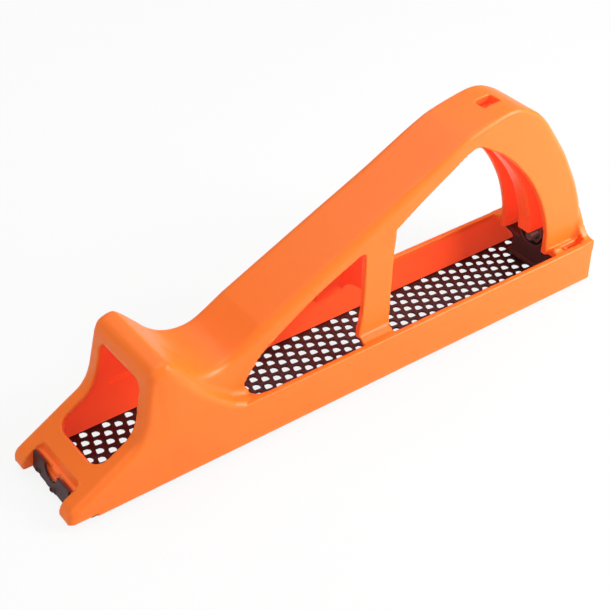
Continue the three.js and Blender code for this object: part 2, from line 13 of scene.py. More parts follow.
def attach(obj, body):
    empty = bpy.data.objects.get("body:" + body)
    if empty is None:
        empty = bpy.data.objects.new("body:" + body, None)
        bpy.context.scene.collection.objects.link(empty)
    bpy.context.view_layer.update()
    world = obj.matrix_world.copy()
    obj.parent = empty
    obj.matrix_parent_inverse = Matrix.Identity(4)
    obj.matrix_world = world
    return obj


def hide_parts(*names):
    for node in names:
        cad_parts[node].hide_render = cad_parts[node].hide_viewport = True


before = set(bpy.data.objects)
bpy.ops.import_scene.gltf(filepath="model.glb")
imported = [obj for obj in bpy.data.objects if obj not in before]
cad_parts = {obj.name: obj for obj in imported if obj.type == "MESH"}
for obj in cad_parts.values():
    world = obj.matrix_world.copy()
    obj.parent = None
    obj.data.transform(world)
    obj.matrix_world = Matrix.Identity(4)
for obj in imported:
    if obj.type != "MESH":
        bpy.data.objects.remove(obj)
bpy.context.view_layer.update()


def added(name, data):
    """A new object with that data, in the scene."""
    made = bpy.data.objects.new(name, data)
    bpy.context.scene.collection.objects.link(made)
    return made


# The view
# The camera stands in front of the nose, to the near side and above.
# Its place, angles and lens were solved from the photograph's blade lattice.
MM = 0.001
VIEW_AZIMUTH = np.radians(-36.418)
VIEW_ELEVATION = np.radians(37.316)
VIEW_ROLL = np.radians(0.292)
VIEW_PLACE = np.array([-260.934, -339.658, 356.547]) * MM
SENSOR = 36.0
FOCAL_PIXELS = 1364.84
PICTURE_PIXELS = 610

view_back = np.array([
    np.sin(VIEW_AZIMUTH) * np.cos(VIEW_ELEVATION),
    -np.cos(VIEW_AZIMUTH) * np.cos(VIEW_ELEVATION),
    np.sin(VIEW_ELEVATION),
])
level_right = np.array([np.cos(VIEW_AZIMUTH), np.sin(VIEW_AZIMUTH), 0.0])
level_up = np.cross(view_back, level_right)
view_right = level_right * np.cos(VIEW_ROLL) + level_up * np.sin(VIEW_ROLL)
view_up = level_up * np.cos(VIEW_ROLL) - level_right * np.sin(VIEW_ROLL)

camera_data = bpy.data.cameras.new("view")
camera_data.sensor_width = SENSOR
camera_data.lens = SENSOR * (FOCAL_PIXELS / PICTURE_PIXELS)
camera_data.clip_start = 0.01
camera_data.clip_end = 50.0
camera = added("view", camera_data)
turn = Matrix(np.column_stack([view_right, view_up, view_back]).tolist()).to_4x4()
camera.matrix_world = Matrix.Translation(VIEW_PLACE.tolist()) @ turn
bpy.context.scene.camera = camera

# Body
# One injection moulding in orange plastic: nose, knob, grip, strut, leg, rails and heel in one thin shell.
# The blade closes it from below. Its walls are 2.6 mm thick, with a thin skirt outside the blade.
BLADE_TOP = 2.2
BLADE_GAP = 0.3
SKIRT_FOOT = 1.3
BODY_FOOT = BLADE_TOP + BLADE_GAP
BODY_HEIGHT = 94.0
CROWN_TOP = BODY_FOOT + BODY_HEIGHT
BODY_HALF = 22.0
SHARP_TIP = -131.0
OUTLINE_LENGTH = 260.0
NOSE_TIP = -129.0
HEEL_END = 129.0
RAIL_TOP = BODY_FOOT + 18.0
WALL = 2.6
INNER_HALF = BODY_HALF - WALL
INNER_END = HEEL_END - WALL
PLATE_FOOT = RAIL_TOP - WALL
HIDDEN_DEPTH = 30.0
UNDER = BODY_FOOT - HIDDEN_DEPTH
OVERRUN = 9.0

# Side outlines, as shares of the body's length and height
NOSE_FACE = [(0.0075, 0.049), (0.1135, 0.22), (0.1295, 0.247), (0.1375, 0.321)]
CROWN = [(0.1505, 0.488), (0.1575, 0.524), (0.17, 0.54), (0.183, 0.535), (0.196, 0.474)]
SHOULDER = [(0.196, 0.474), (0.236, 0.342), (0.285, 0.223)]
GRIP_START = (0.163, 0.502)
SADDLE = [
    (0.183, 0.533), (0.196, 0.511), (0.211, 0.471), (0.224, 0.431), (0.24, 0.398), (0.258, 0.38),
    (0.277, 0.377), (0.296, 0.388), (0.32, 0.42), (0.35, 0.467),
]
HUMP = [
    (0.658, 0.868), (0.715, 0.943), (0.742, 0.967), (0.773, 0.986), (0.802, 0.9988), (0.825, 0.996),
    (0.848, 0.971), (0.875, 0.922), (0.903, 0.835), (0.938, 0.694), (0.958, 0.593), (0.98, 0.463),
    (0.9945, 0.335), (1.0, 0.22),
]
STRUT_EDGE = [(0.5805, 0.19), (0.5834, 0.37), (0.5875, 0.54)]
HAND_HOLE = [
    (0.5912, 0.658), (0.614, 0.7), (0.648, 0.757), (0.688, 0.818), (0.722, 0.87), (0.736, 0.886),
    (0.752, 0.884), (0.779, 0.839), (0.802, 0.796), (0.826, 0.735), (0.85, 0.661), (0.872, 0.579),
    (0.893, 0.474), (0.906, 0.38), (0.915, 0.284),
]
SIDE_OPENING = [
    (0.3195, 0.2), (0.314, 0.218), (0.316, 0.245), (0.33, 0.293), (0.352, 0.357), (0.43, 0.489),
    (0.466, 0.54), (0.505, 0.587), (0.521, 0.607), (0.53, 0.608), (0.5328, 0.594), (0.5317, 0.484),
    (0.53, 0.38), (0.527, 0.3), (0.5215, 0.232),
]

# How finely the outlines are drawn, and the grid of their distance tables
FACE_BEND_STEPS = 12
CROWN_STEPS = 28
SHOULDER_STEPS = 16
SADDLE_STEPS = 50
HUMP_STEPS = 90
HAND_HOLE_STEPS = 90
SIDE_OPENING_STEPS = 80
TABLE_STEP = 0.4
TABLE_MARGIN = 8.0
TABLE_END = 1.001


def station(share):
    """The x at a share of the outline's length from the sharp tip."""
    return SHARP_TIP + share * OUTLINE_LENGTH


def at(shares):
    """Points from shares: x of the outline's length from its sharp tip, z of the body's height."""
    shares = np.asarray(shares, float).reshape(-1, 2)
    return np.stack([station(shares[:, 0]), BODY_FOOT + shares[:, 1] * BODY_HEIGHT], axis=1)


def smooth(points, steps):
    """A curve through points: cubics whose slope at a point is set by the points before and after it."""
    points = np.asarray(points, float)
    padded = np.vstack([points[:1], points, points[-1:]])
    place = np.linspace(0, len(points) - 1, steps + 1)
    start = np.minimum(place.astype(int), len(points) - 2)
    t = (place - start)[:, None]
    a, b, c, d = (padded[start + k] for k in range(4))
    v0 = (c - a) / 2
    v1 = (d - b) / 2
    return (2 * b - 2 * c + v0 + v1) * t**3 + (3 * c - 3 * b - 2 * v0 - v1) * t**2 + v0 * t + b


class Side:
    """A closed side outline as a table of signed distances, negative inside, read between its grid points.

    Each table entry is the distance to the nearest edge, with the sign of a count of edges crossed by a ray.
    """

    def __init__(self, outline):
        self.low = outline.min(axis=0) - TABLE_MARGIN
        self.size = np.ceil((outline.max(axis=0) + TABLE_MARGIN - self.low) / TABLE_STEP).astype(int) + 1
        lines = [self.low[k] + TABLE_STEP * np.arange(self.size[k]) for k in (0, 1)]
        x, z = np.meshgrid(*lines, indexing="ij")
        nearest = np.full(x.shape, np.inf)
        inside = np.zeros(x.shape, bool)
        for (ax, az), (bx, bz) in zip(outline, np.roll(outline, -1, axis=0)):
            ex, ez = bx - ax, bz - az
            if ex == 0 and ez == 0:
                continue
            share = np.clip(((x - ax) * ex + (z - az) * ez) / (ex * ex + ez * ez), 0, 1)
            nearest = np.minimum(nearest, np.hypot(x - ax - share * ex, z - az - share * ez))
            if ez:
                spans = (z >= min(az, bz)) & (z < max(az, bz))
                inside ^= spans & (x < ax + (z - az) * ex / ez)
        self.table = np.where(inside, -nearest, nearest)

    def __call__(self, x, z):
        u = np.clip((x - self.low[0]) / TABLE_STEP, 0, self.size[0] - TABLE_END)
        v = np.clip((z - self.low[1]) / TABLE_STEP, 0, self.size[1] - TABLE_END)
        i, j = u.astype(int), v.astype(int)
        s, t = u - i, v - j
        low = self.table[i, j] * (1 - s) + self.table[i + 1, j] * s
        high = self.table[i, j + 1] * (1 - s) + self.table[i + 1, j + 1] * s
        return low * (1 - t) + high * t


def both(a, b, radius=0.0):
    """What two solids share, with a quarter round of that radius where their faces meet."""
    if radius == 0:
        return np.maximum(a, b)
    corner = np.hypot(np.maximum(a + radius, 0), np.maximum(b + radius, 0))
    return np.minimum(np.maximum(a, b), -radius) + corner


def joined(a, b, radius=0.0):
    """Two solids as one, with a hollow fillet of that radius where their faces meet."""
    return -both(-a, -b, radius)


def without(a, b, radius=0.0):
    """The first solid less the second, with the cut's rim rounded."""
    return both(a, -b, radius)


def block(x, y, z, low, high, radius=0.0):
    """A box with rounded edges: the distance to a smaller box, less the radius."""
    away = [np.maximum(lo + radius - v, v - hi + radius) for v, lo, hi in zip((x, y, z), low, high)]
    outside = np.sqrt(sum(np.maximum(d, 0) ** 2 for d in away))
    return outside + np.minimum(np.maximum(np.maximum(away[0], away[1]), away[2]), 0) - radius


def between(value, start, end):
    """The distance to a slab with two parallel faces."""
    return np.abs(value - (start + end) / 2) - (end - start) / 2


def ramp(value, start, end):
    """A soft step from 0 at the start to 1 at the end."""
    share = np.clip((value - start) / (end - start), 0, 1)
    return share * share * (3 - 2 * share)


def opening_side(shares, steps, straight=()):
    """An opening's outline, carried down past the rails: straight points first, then a curve."""
    curve = np.vstack([at(straight), smooth(at(shares), steps)])
    low = RAIL_TOP - HIDDEN_DEPTH
    return Side(np.vstack([[curve[0, 0], low], curve, [curve[-1, 0], low]]))


SHOULDER_END = station(0.3115)
SHOULDER_RUN = 6.0
face_start, face_end, face_bend, wall_start = at(NOSE_FACE)
face_slope = (face_end[1] - face_start[1]) / (face_end[0] - face_start[0])
bent = np.linspace(0, 1, FACE_BEND_STEPS + 1)[:, None]
face_curve = (1 - bent) ** 2 * face_end + 2 * bent * (1 - bent) * face_bend + bent**2 * wall_start
nose_side = Side(np.vstack([
    [face_start[0] - (face_start[1] - UNDER) / face_slope, UNDER],
    face_curve,
    smooth(at(CROWN), CROWN_STEPS),
    smooth(at(SHOULDER), SHOULDER_STEPS)[1:],
    [SHOULDER_END, RAIL_TOP],
    [SHOULDER_END + SHOULDER_RUN, UNDER],
]))
grip_side = Side(np.vstack([
    [station(GRIP_START[0]), UNDER],
    at([GRIP_START]),
    smooth(at(SADDLE), SADDLE_STEPS),
    smooth(at(HUMP), HUMP_STEPS),
    [HEEL_END, UNDER],
]))
hand_hole_side = opening_side(HAND_HOLE, HAND_HOLE_STEPS, STRUT_EDGE)
side_opening_side = opening_side(SIDE_OPENING, SIDE_OPENING_STEPS)

# Rounds and fillets that several places share
FAINT_ROUND = 0.2
FINE_ROUND = 0.3
EDGE_ROUND = 0.4
CUT_ROUND = 0.5
SOFT_ROUND = 0.6
RIM_ROUND = 0.7
RAIL_ROUND = 0.9

# Nose block and grip
KNOB_HALF = 20.0
KNOB_START = station(0.18)
KNOB_END = station(0.31)
KNOB_FILLET = 3.0
GRIP_FRONT_HALF = 15.6
GRIP_REAR_HALF = 14.1
GRIP_TAPER = 1.7
GRIP_ROUND = 3.4
GRIP_TOP_ROUND = 1.9
GRIP_TOP_LEVELS = (74.0, 88.0)
NOSE_TAPER = 3.8
NOSE_ROUND = 3.0
NOSE_FRONT_ROUND = 2.5
RAIL_FRONT = -101.0
STRUT_FRONT = station(0.5215)
STRUT_REAR = station(0.5795)
STRUT_HEAD_X, STRUT_HEAD_Z = at([(0.5905, 0.66)])[0]


def rise_share(z):
    """How far up a level lies from the rails' top to the crown, from 0 to 1."""
    return np.clip((z - RAIL_TOP) / (CROWN_TOP - RAIL_TOP), 0, 1)


def grip_half(x, z):
    """Half the grip's width: it narrows behind the knob, then slowly to the heel, and a little to the top."""
    along = np.clip((x - STRUT_FRONT) / (HEEL_END - STRUT_FRONT), 0, 1)
    grip = GRIP_FRONT_HALF + (GRIP_REAR_HALF - GRIP_FRONT_HALF) * along
    knob = 1 - ramp(x, KNOB_START, KNOB_END)
    return grip + (KNOB_HALF - grip) * knob - GRIP_TAPER * rise_share(z) * (1 - knob)


def upper_solid(x, y, z, openings):
    """Nose block and grip as one outer solid: its long edges are rounded, and less so at the grip's top."""
    plan = both(NOSE_TIP - x, np.abs(y) - (BODY_HALF - NOSE_TAPER * rise_share(z)), NOSE_FRONT_ROUND)
    nose = both(nose_side(x, z), plan, NOSE_ROUND)
    flank = np.abs(y) - grip_half(x, z)
    grip = both(grip_side(x, z), flank, GRIP_ROUND)
    crisp = both(grip_side(x, z), flank, GRIP_TOP_ROUND)
    grip = grip + (crisp - grip) * ramp(z, *GRIP_TOP_LEVELS)
    if openings:
        grip = without(grip, hand_hole_side(x, z), RIM_ROUND)
        grip = without(grip, side_opening_side(x, z), SOFT_ROUND)
    return joined(nose, grip, KNOB_FILLET)


def envelope(x, y, z):
    """The moulding's outer shape with nothing hollowed out: its depth tells inner faces from outer ones, for
    the painted glow on the inner faces.
    """
    rails = block(x, y, z, (RAIL_FRONT, -BODY_HALF, UNDER), (HEEL_END, BODY_HALF, RAIL_TOP))
    return joined(upper_solid(x, y, z, False), rails)


def leg_side(x, z):
    """The grip's side outline, carried straight down below the rails' top."""
    return grip_side(x, np.maximum(z, RAIL_TOP))


# Crossbar in the nose, with the shelf that the blade's front tab hooks over
SLOT_HALF = 14.0
SLOT_REAR = -119.104
SLOT_ROUND = 2.8
CROSSBAR_X = -120.68
CROSSBAR_Z = 5.1
CROSSBAR_RADIUS = 2.6
LEDGE_FRONT = -121.904
LEDGE_REAR = -120.204
LEDGE_TOP = 9.7
KEY_HALF = 2.8
KEY_REACH = 0.5
SLOPE_RUN = 1.1
SLOPE_RISE = 3.2
SLOPE_TOP = 12.7


def crossbar_field(x, y, z):
    """The round bar in the nose, the shelf over it with its key, and the sloped wall behind the slot."""
    half = SLOT_HALF + WALL
    rear = SLOT_REAR + WALL
    key_front = LEDGE_FRONT - KEY_REACH
    bar = both(np.hypot(x - CROSSBAR_X, z - CROSSBAR_Z) - CROSSBAR_RADIUS, np.abs(y) - half)
    back = block(x, y, z, (CROSSBAR_X, -half, BODY_FOOT), (rear, half, LEDGE_TOP))
    shelf = block(x, y, z, (LEDGE_FRONT, -half, CROSSBAR_Z), (rear, half, LEDGE_TOP), FINE_ROUND)
    key = block(x, y, z, (key_front, -KEY_HALF, CROSSBAR_Z), (rear, KEY_HALF, LEDGE_TOP), FINE_ROUND)
    lean = (SLOPE_RUN * (z - LEDGE_TOP) - SLOPE_RISE * (x - LEDGE_REAR)) / np.hypot(SLOPE_RUN, SLOPE_RISE)
    slope = both(both(lean, z - SLOPE_TOP), both(x - rear, np.abs(y) - half))
    slope = both(slope, CROSSBAR_Z - z)
    return joined(joined(joined(bar, back), joined(shelf, key)), slope, FINE_ROUND)


# Heel: two gussets, and a bump and a sloped pocket with two slits on each side
GUSSET_INNER = 12.2
GUSSET_OUTER = 21.4
GUSSET_RUN = 8.0
GUSSET_END = 1.3
GUSSET_CURVE = 1.9
GUSSET_STEP = 0.3
GUSSET_RISE = 8.6
GUSSET_FLARE = 2.6
GUSSET_FLARE_RISE = 8
GUSSET_EASE = 0.7
GUSSET_ROUND = 0.8
GUSSET_FILLET = 2.2
BUMP_X = 110.9
BUMP_Y = 17.2
BUMP_HALF_LENGTH = 1.2
BUMP_RADIUS = 1.3
POCKET_ENDS = (113.9, 125.2)
POCKET_SIDES = (16.1, 18.9)
POCKET_DEPTH = 2.4
POCKET_FLOOR_DEPTH = 1.1
POCKET_FLOOR_FALL = 1.2
POCKET_FALL_START = 16.0
POCKET_FALL_RUN = 1.6
SLIT_ENDS = ((114.2, 116.4), (118.4, 124.4))
SLIT_SIDES = (16.5, 18.6)
SLIT_ROUND = 0.1


def gusset_field(x, wide, z):
    """A wall that climbs in a hollow curve from the rail up to the leg. It is thicker at its foot."""
    climbed = np.clip((GUSSET_OUTER - wide) / GUSSET_RUN, 0, GUSSET_END) ** GUSSET_CURVE
    top = RAIL_TOP + GUSSET_STEP + GUSSET_RISE * climbed
    thick = WALL + GUSSET_FLARE * np.clip((RAIL_TOP + GUSSET_FLARE_RISE - z) / GUSSET_FLARE_RISE, 0, 1)
    sides = both(np.maximum(HEEL_END - thick - x, x - HEEL_END), GUSSET_INNER - wide)
    gusset = both((z - top) * GUSSET_EASE, sides, GUSSET_ROUND)
    return both(both(gusset, leg_side(x, z)), PLATE_FOOT - z)


def pocket_field(x, wide, z):
    """The pocket's hollow. Its floor falls to the outer side."""
    fall = np.clip((wide - POCKET_FALL_START) / POCKET_FALL_RUN, 0, 1)
    floor_level = RAIL_TOP - POCKET_FLOOR_DEPTH - POCKET_FLOOR_FALL * fall
    low = (POCKET_ENDS[0], POCKET_SIDES[0], RAIL_TOP - POCKET_DEPTH)
    high = (POCKET_ENDS[1], POCKET_SIDES[1], RAIL_TOP + OVERRUN)
    return both(block(x, wide, z, low, high, CUT_ROUND), floor_level - z)


def with_heel_forms(solid, x, wide, z):
    """The solid with the heel's small forms."""
    solid = joined(solid, gusset_field(x, wide, z), GUSSET_FILLET)
    past_middle = np.maximum(np.abs(x - BUMP_X) - BUMP_HALF_LENGTH, 0)
    bump = np.sqrt(past_middle**2 + (wide - BUMP_Y) ** 2 + (z - RAIL_TOP) ** 2) - BUMP_RADIUS
    solid = joined(solid, bump, EDGE_ROUND)
    solid = without(solid, pocket_field(x, wide, z), EDGE_ROUND)
    for start, end in SLIT_ENDS:
        low = (start, SLIT_SIDES[0], RAIL_TOP - OVERRUN)
        high = (end, SLIT_SIDES[1], RAIL_TOP)
        solid = without(solid, block(x, wide, z, low, high, EDGE_ROUND), SLIT_ROUND)
    return solid


# Shell, rails and ledge
HOLLOW_ROUND = 1.2
CHANNEL_FRONT = -67.0
INNER_FRONT = -140.0
FOOT_LAP = 3
STRUT_FOOT_RISE = 3.4
STRUT_FOOT_RUN = 3.8
LEG_FOOT = station(0.921)


def strut_foot(wide):
    """The level where the strut ends above the channel: it rises away from the rails."""
    return PLATE_FOOT + STRUT_FOOT_RISE * ramp(INNER_HALF - wide, 0, STRUT_FOOT_RUN)


def shell_field(x, y, z, outer_skin):
    """The hollow nose, grip, strut and leg, down to the blade at the nose and to the rails behind it."""
    hollow = both(outer_skin + WALL, SLOT_REAR + WALL - x, HOLLOW_ROUND)
    shell = without(upper_solid(x, y, z, True), hollow, FINE_ROUND)
    low = (CHANNEL_FRONT, -INNER_HALF, UNDER - OVERRUN)
    shell = without(shell, block(x, y, z, low, (INNER_END, INNER_HALF, PLATE_FOOT), EDGE_ROUND))
    at_strut = (x > STRUT_FRONT - FOOT_LAP) & (x < STRUT_REAR + FOOT_LAP)
    foot = np.where(at_strut, strut_foot(np.abs(y)), PLATE_FOOT)
    foot = np.where(x < SHOULDER_END + FOOT_LAP, UNDER, foot)
    return both(shell, foot - z)


def rails_field(x, y, z):
    """The two rails and the heel's wall."""
    outer_low = (RAIL_FRONT, -BODY_HALF, UNDER - OVERRUN)
    inner_low = (INNER_FRONT, -INNER_HALF, UNDER - 2 * OVERRUN)
    inner_high = (INNER_END, INNER_HALF, RAIL_TOP + HIDDEN_DEPTH)
    outer = block(x, y, z, outer_low, (HEEL_END, BODY_HALF, RAIL_TOP), RAIL_ROUND)
    return without(outer, block(x, y, z, inner_low, inner_high, SOFT_ROUND), EDGE_ROUND)


def ledge_field(x, y, z):
    """The plate round the leg's foot, level with the rails' top and open inside the leg."""
    low = (LEG_FOOT, -BODY_HALF, PLATE_FOOT)
    ledge = block(x, y, z, low, (HEEL_END, BODY_HALF, RAIL_TOP), RAIL_ROUND)
    return without(ledge, both(leg_side(x, z) + WALL, np.abs(y) - grip_half(x, z) + WALL))


# Strut: its pads on the rails, its rear web with an arch, and the rib under the grip
PAD_INNER = 12.8
PAD_OUTER = BODY_HALF - 1.2
PAD_RISE = 2.2
PAD_EDGE = 0.6
PAD_RUN = 6
PAD_SLOPE = 0.62
PAD_TOP = RAIL_TOP + 4
PAD_FILLET = 0.8
SKIN_LAP = 1.0
ARCH_HALF = 13.0
ARCH_RISE = 9.0
RIB_HALF = 3.5
RIB_FOOT = 23.0

# Plan fillet at the side opening's front corner
CORNER_X = -42.2
CORNER_ROUND = 6.4
CORNER_RUN = 4
CORNER_LAP = 1


def pad_field(x, wide, z):
    """The strut's foot on each rail: its top slopes down to the side."""
    top = RAIL_TOP + PAD_RISE - np.clip(wide - GRIP_FRONT_HALF + PAD_EDGE, 0, PAD_RUN) * PAD_SLOPE
    low = (STRUT_FRONT, PAD_INNER, PLATE_FOOT)
    pads = block(x, wide, z, low, (STRUT_REAR, PAD_OUTER, PAD_TOP), FINE_ROUND)
    return both(both(pads, z - top, FINE_ROUND), strut_foot(wide) - z, FINE_ROUND)


def web_field(x, y, z, outer_skin):
    """The strut's rear wall, which leans with the strut's edge, over an arch."""
    lean = (x - STRUT_REAR) - (z - RAIL_TOP) * (STRUT_HEAD_X - STRUT_REAR) / (STRUT_HEAD_Z - RAIL_TOP)
    web = both(np.abs(lean + WALL / 2) - WALL / 2, outer_skin + SKIN_LAP)
    rise = (np.maximum(z, RAIL_TOP) - RAIL_TOP) / ARCH_RISE
    arch = (np.hypot(y / ARCH_HALF, rise) - 1) * ARCH_RISE
    return both(without(web, arch, EDGE_ROUND), RAIL_TOP - z)


def rib_field(x, wide, z):
    """The rib under the grip, from the strut's head to the leg."""
    rib = both(wide - RIB_HALF, both(grip_side(x, z) + SKIN_LAP, RIB_FOOT - z), CUT_ROUND)
    return both(without(rib, hand_hole_side(x, z), SOFT_ROUND), STRUT_HEAD_X - WALL - x)


def corner_field(x, wide, z):
    """The rail's plate in the side opening's front corner, with a round edge seen from above."""
    corner = CORNER_ROUND - np.hypot(x - CORNER_X, wide - INNER_HALF + CORNER_ROUND)
    corner = both(corner, both(x - CORNER_X, INNER_HALF - CORNER_ROUND - wide))
    ends = both(CORNER_X - CORNER_ROUND - CORNER_RUN - x, wide - INNER_HALF - CORNER_LAP)
    return both(both(corner, ends), np.abs(z - RAIL_TOP + WALL / 2) - WALL / 2, FINE_ROUND)


# Screw boss in the heel, with a well for the head
SCREW_LEVEL = BODY_FOOT + 15.9
BOSS_RADIUS = 6.6
BOSS_FRONT = 122.8
WELL_RADIUS = 5.6
WELL_FLOOR = 125.0
SCREW_HOLE_RADIUS = 3.0
SCREW_HOLE_FRONT = 117
FAR_OFF = 20.0

# Nose window, and the pocket in the top of the grip
WINDOW_LOW_X = -113.09
WINDOW_LOW_Z = 16.41
WINDOW_TOP = 46.02
WINDOW_HALF = 15.0
WINDOW_REAR = station(0.17)
WINDOW_NECK = 0.8
WINDOW_NECK_LEVELS = (28, 36)
WINDOW_ROUND = 6.5
WINDOW_TOP_ROUND = 4.0
FACE_ALONG_X = 0.8638
FACE_ALONG_Z = 0.5038
TOP_POCKET_X = station(0.804)
TOP_POCKET_HALF_LENGTH = 4.2
TOP_POCKET_HALF_WIDTH = 3.1
TOP_POCKET_DEPTH = 4

# Bay below, which the blade fills
BAY_HALF = 21.3
BAY_FRONT = -117.68
BAY_ROUND = 0.15


def with_screw_boss(solid, x, y, z):
    """The solid with the boss, the well for the screw's head and washer, and the hole for its shank."""
    from_screw = np.hypot(y, z - SCREW_LEVEL)
    boss = both(from_screw - BOSS_RADIUS, np.maximum(BOSS_FRONT - x, x - HEEL_END), EDGE_ROUND)
    solid = joined(solid, boss, EDGE_ROUND)
    solid = without(solid, both(from_screw - WELL_RADIUS, WELL_FLOOR - x), FINE_ROUND)
    hole = from_screw - SCREW_HOLE_RADIUS + np.where(x < SCREW_HOLE_FRONT, FAR_OFF, 0.0)
    return without(solid, hole, FAINT_ROUND)


def with_nose_cuts(solid, x, y, z):
    """The solid less the slot between the prongs and less the nose window, and with the crossbar."""
    wide = np.abs(y)
    slot = both(both(x - SLOT_REAR, wide - SLOT_HALF, SLOT_ROUND), UNDER - OVERRUN - z)
    solid = without(solid, slot, SOFT_ROUND)
    climb = (x - WINDOW_LOW_X) * FACE_ALONG_X + (z - WINDOW_LOW_Z) * FACE_ALONG_Z
    sides = wide - WINDOW_HALF + WINDOW_NECK * ramp(z, *WINDOW_NECK_LEVELS)
    window = both(both(-climb, sides, WINDOW_ROUND), z - WINDOW_TOP, WINDOW_TOP_ROUND)
    solid = without(solid, both(window, x - WINDOW_REAR), RIM_ROUND)
    return joined(solid, crossbar_field(x, y, z), EDGE_ROUND)


def with_top_pocket(solid, x, y, z):
    """The solid less the small pocket in the top of the grip."""
    low = (TOP_POCKET_X - TOP_POCKET_HALF_LENGTH, -TOP_POCKET_HALF_WIDTH, CROWN_TOP - TOP_POCKET_DEPTH)
    high = (TOP_POCKET_X + TOP_POCKET_HALF_LENGTH, TOP_POCKET_HALF_WIDTH, CROWN_TOP + OVERRUN)
    return without(solid, block(x, y, z, low, high, CUT_ROUND), CUT_ROUND)


def body_field(x, y, z):
    """The moulding's signed distance: shell, rails, heel, ribs and boss, less the cuts and the bay."""
    wide = np.abs(y)
    outer_skin = upper_solid(x, y, z, False)
    solid = joined(shell_field(x, y, z, outer_skin), rails_field(x, y, z))
    solid = joined(solid, ledge_field(x, y, z), CUT_ROUND)
    solid = joined(solid, pad_field(x, wide, z), PAD_FILLET)
    solid = joined(solid, web_field(x, y, z, outer_skin), EDGE_ROUND)
    solid = joined(solid, rib_field(x, wide, z), SOFT_ROUND)
    solid = joined(solid, corner_field(x, wide, z), SOFT_ROUND)
    solid = with_heel_forms(solid, x, wide, z)
    solid = with_screw_boss(solid, x, y, z)
    solid = with_nose_cuts(solid, x, y, z)
    solid = with_top_pocket(solid, x, y, z)
    bay = both(wide - BAY_HALF, both(z - BODY_FOOT, x - HEEL_END + WALL))
    bay = joined(bay, both(x - BAY_FRONT, z - BODY_FOOT))
    solid = without(solid, bay, BAY_ROUND)
    solid = both(solid, both(wide - BODY_HALF, x - HEEL_END))
    return both(solid, SKIRT_FOOT - z, FAINT_ROUND)


# How a surface net settles on its field
NUDGE_SHARE = 0.05
SETTLE_ROUNDS = 3
LEAST_STEEPNESS = 0.2
MOST_MOVE = 0.4
TINY = 1e-9


def edge_crossings(value, axis):
    """Which grid edges along one axis cross zero, and the share of the edge where each does."""
    count = value.shape[axis]
    first = np.take(value, np.arange(count - 1), axis)
    last = np.take(value, np.arange(1, count), axis)
    crossed = (first < 0) != (last < 0)
    return crossed, np.where(crossed, first / np.where(crossed, first - last, 1), 0)


def cell_points(value):
    """One point in each grid cell that the surface crosses, in grid units, and a grid of their numbers."""
    cells = np.array(value.shape) - 1
    total = np.zeros((*cells, 3))
    hits = np.zeros(cells, int)
    for axis in range(3):
        crossed, share = edge_crossings(value, axis)
        index = list(np.indices(share.shape))
        index[axis] = index[axis] + share
        others = [k for k in range(3) if k != axis]
        for corner in np.ndindex(2, 2):
            part = [slice(None)] * 3
            for k, start in zip(others, corner):
                part[k] = slice(start, start + cells[k])
            part = tuple(part)
            mask = crossed[part]
            hits += mask
            for k in range(3):
                total[..., k] += np.where(mask, index[k][part], 0)
    used = hits > 0
    number = np.full(hits.shape, -1)
    number[used] = np.arange(used.sum())
    return total[used] / hits[used][:, None], number


def net_faces(value, number):
    """A four-sided face for each crossed grid edge, from the four cells round it, turned outwards."""
    faces = []
    for axis in range(3):
        crossed, _ = edge_crossings(value, axis)
        b, c = (axis + 1) % 3, (axis + 2) % 3
        at_edge = np.argwhere(crossed)
        inner = [(at_edge[:, k] > 0) & (at_edge[:, k] < value.shape[k] - 1) for k in (b, c)]
        at_edge = at_edge[np.all(inner, axis=0)]
        ring = []
        for db, dc in ((-1, -1), (0, -1), (0, 0), (-1, 0)):
            cell = at_edge.copy()
            cell[:, b] += db
            cell[:, c] += dc
            ring.append(number[tuple(cell.T)])
        ring = np.stack(ring, axis=1)
        outward = value[tuple(at_edge.T)] < 0
        faces.append(np.where(outward[:, None], ring, ring[:, ::-1]))
    return np.vstack(faces)


def slope_at(field, places, reach):
    """The field's slope at some places, from its values a small reach to either side."""
    nudges = np.eye(3) * reach
    return np.stack([field(*(places + n).T) - field(*(places - n).T) for n in nudges], axis=1) / (2 * reach)


def surface_net(field, low, high, step):
    """The zero surface of a field: one point in each grid cell that it crosses, at the crossings' mean.

    The points are then moved along the field's slope, by value over slope, until they lie on the surface.
    The slope there is the normal.
    """
    low = np.asarray(low, float)
    step = np.broadcast_to(np.asarray(step, float), 3)
    counts = np.ceil((np.array(high) - low) / step).astype(int) + 1
    axes = [low[k] + step[k] * np.arange(counts[k]) for k in range(3)]
    value = field(*np.meshgrid(*axes, indexing="ij"))
    grid_points, number = cell_points(value)
    points = grid_points * step + low
    reach = step[0] * NUDGE_SHARE
    for _ in range(SETTLE_ROUNDS):
        slope = slope_at(field, points, reach)
        steepness = np.maximum((slope**2).sum(axis=1), LEAST_STEEPNESS)[:, None]
        move = -field(*points.T)[:, None] * slope / steepness
        size = np.linalg.norm(move, axis=1, keepdims=True)
        points = points + move * np.minimum(1, MOST_MOVE * step[0] / np.maximum(size, TINY))
    slope = slope_at(field, points, reach)
    normals = slope / np.maximum(np.linalg.norm(slope, axis=1, keepdims=True), TINY)
    return points, net_faces(value, number), normals


def piece(name, points, faces, material, normals):
    """A smooth mesh object at the origin from points in millimetres, faces of equal size and normals."""
    mesh = bpy.data.meshes.new(name)
    mesh.vertices.add(len(points))
    mesh.vertices.foreach_set("co", (points * MM).ravel())
    mesh.loops.add(faces.size)
    mesh.loops.foreach_set("vertex_index", faces.ravel())
    mesh.polygons.add(len(faces))
    mesh.polygons.foreach_set("loop_start", np.arange(0, faces.size, faces.shape[1]))
    mesh.update(calc_edges=True)
    mesh.polygons.foreach_set("use_smooth", np.full(len(faces), True))
    mesh.normals_split_custom_set_from_vertices(normals.tolist())
    mesh.materials.append(material)
    return added(name, mesh)


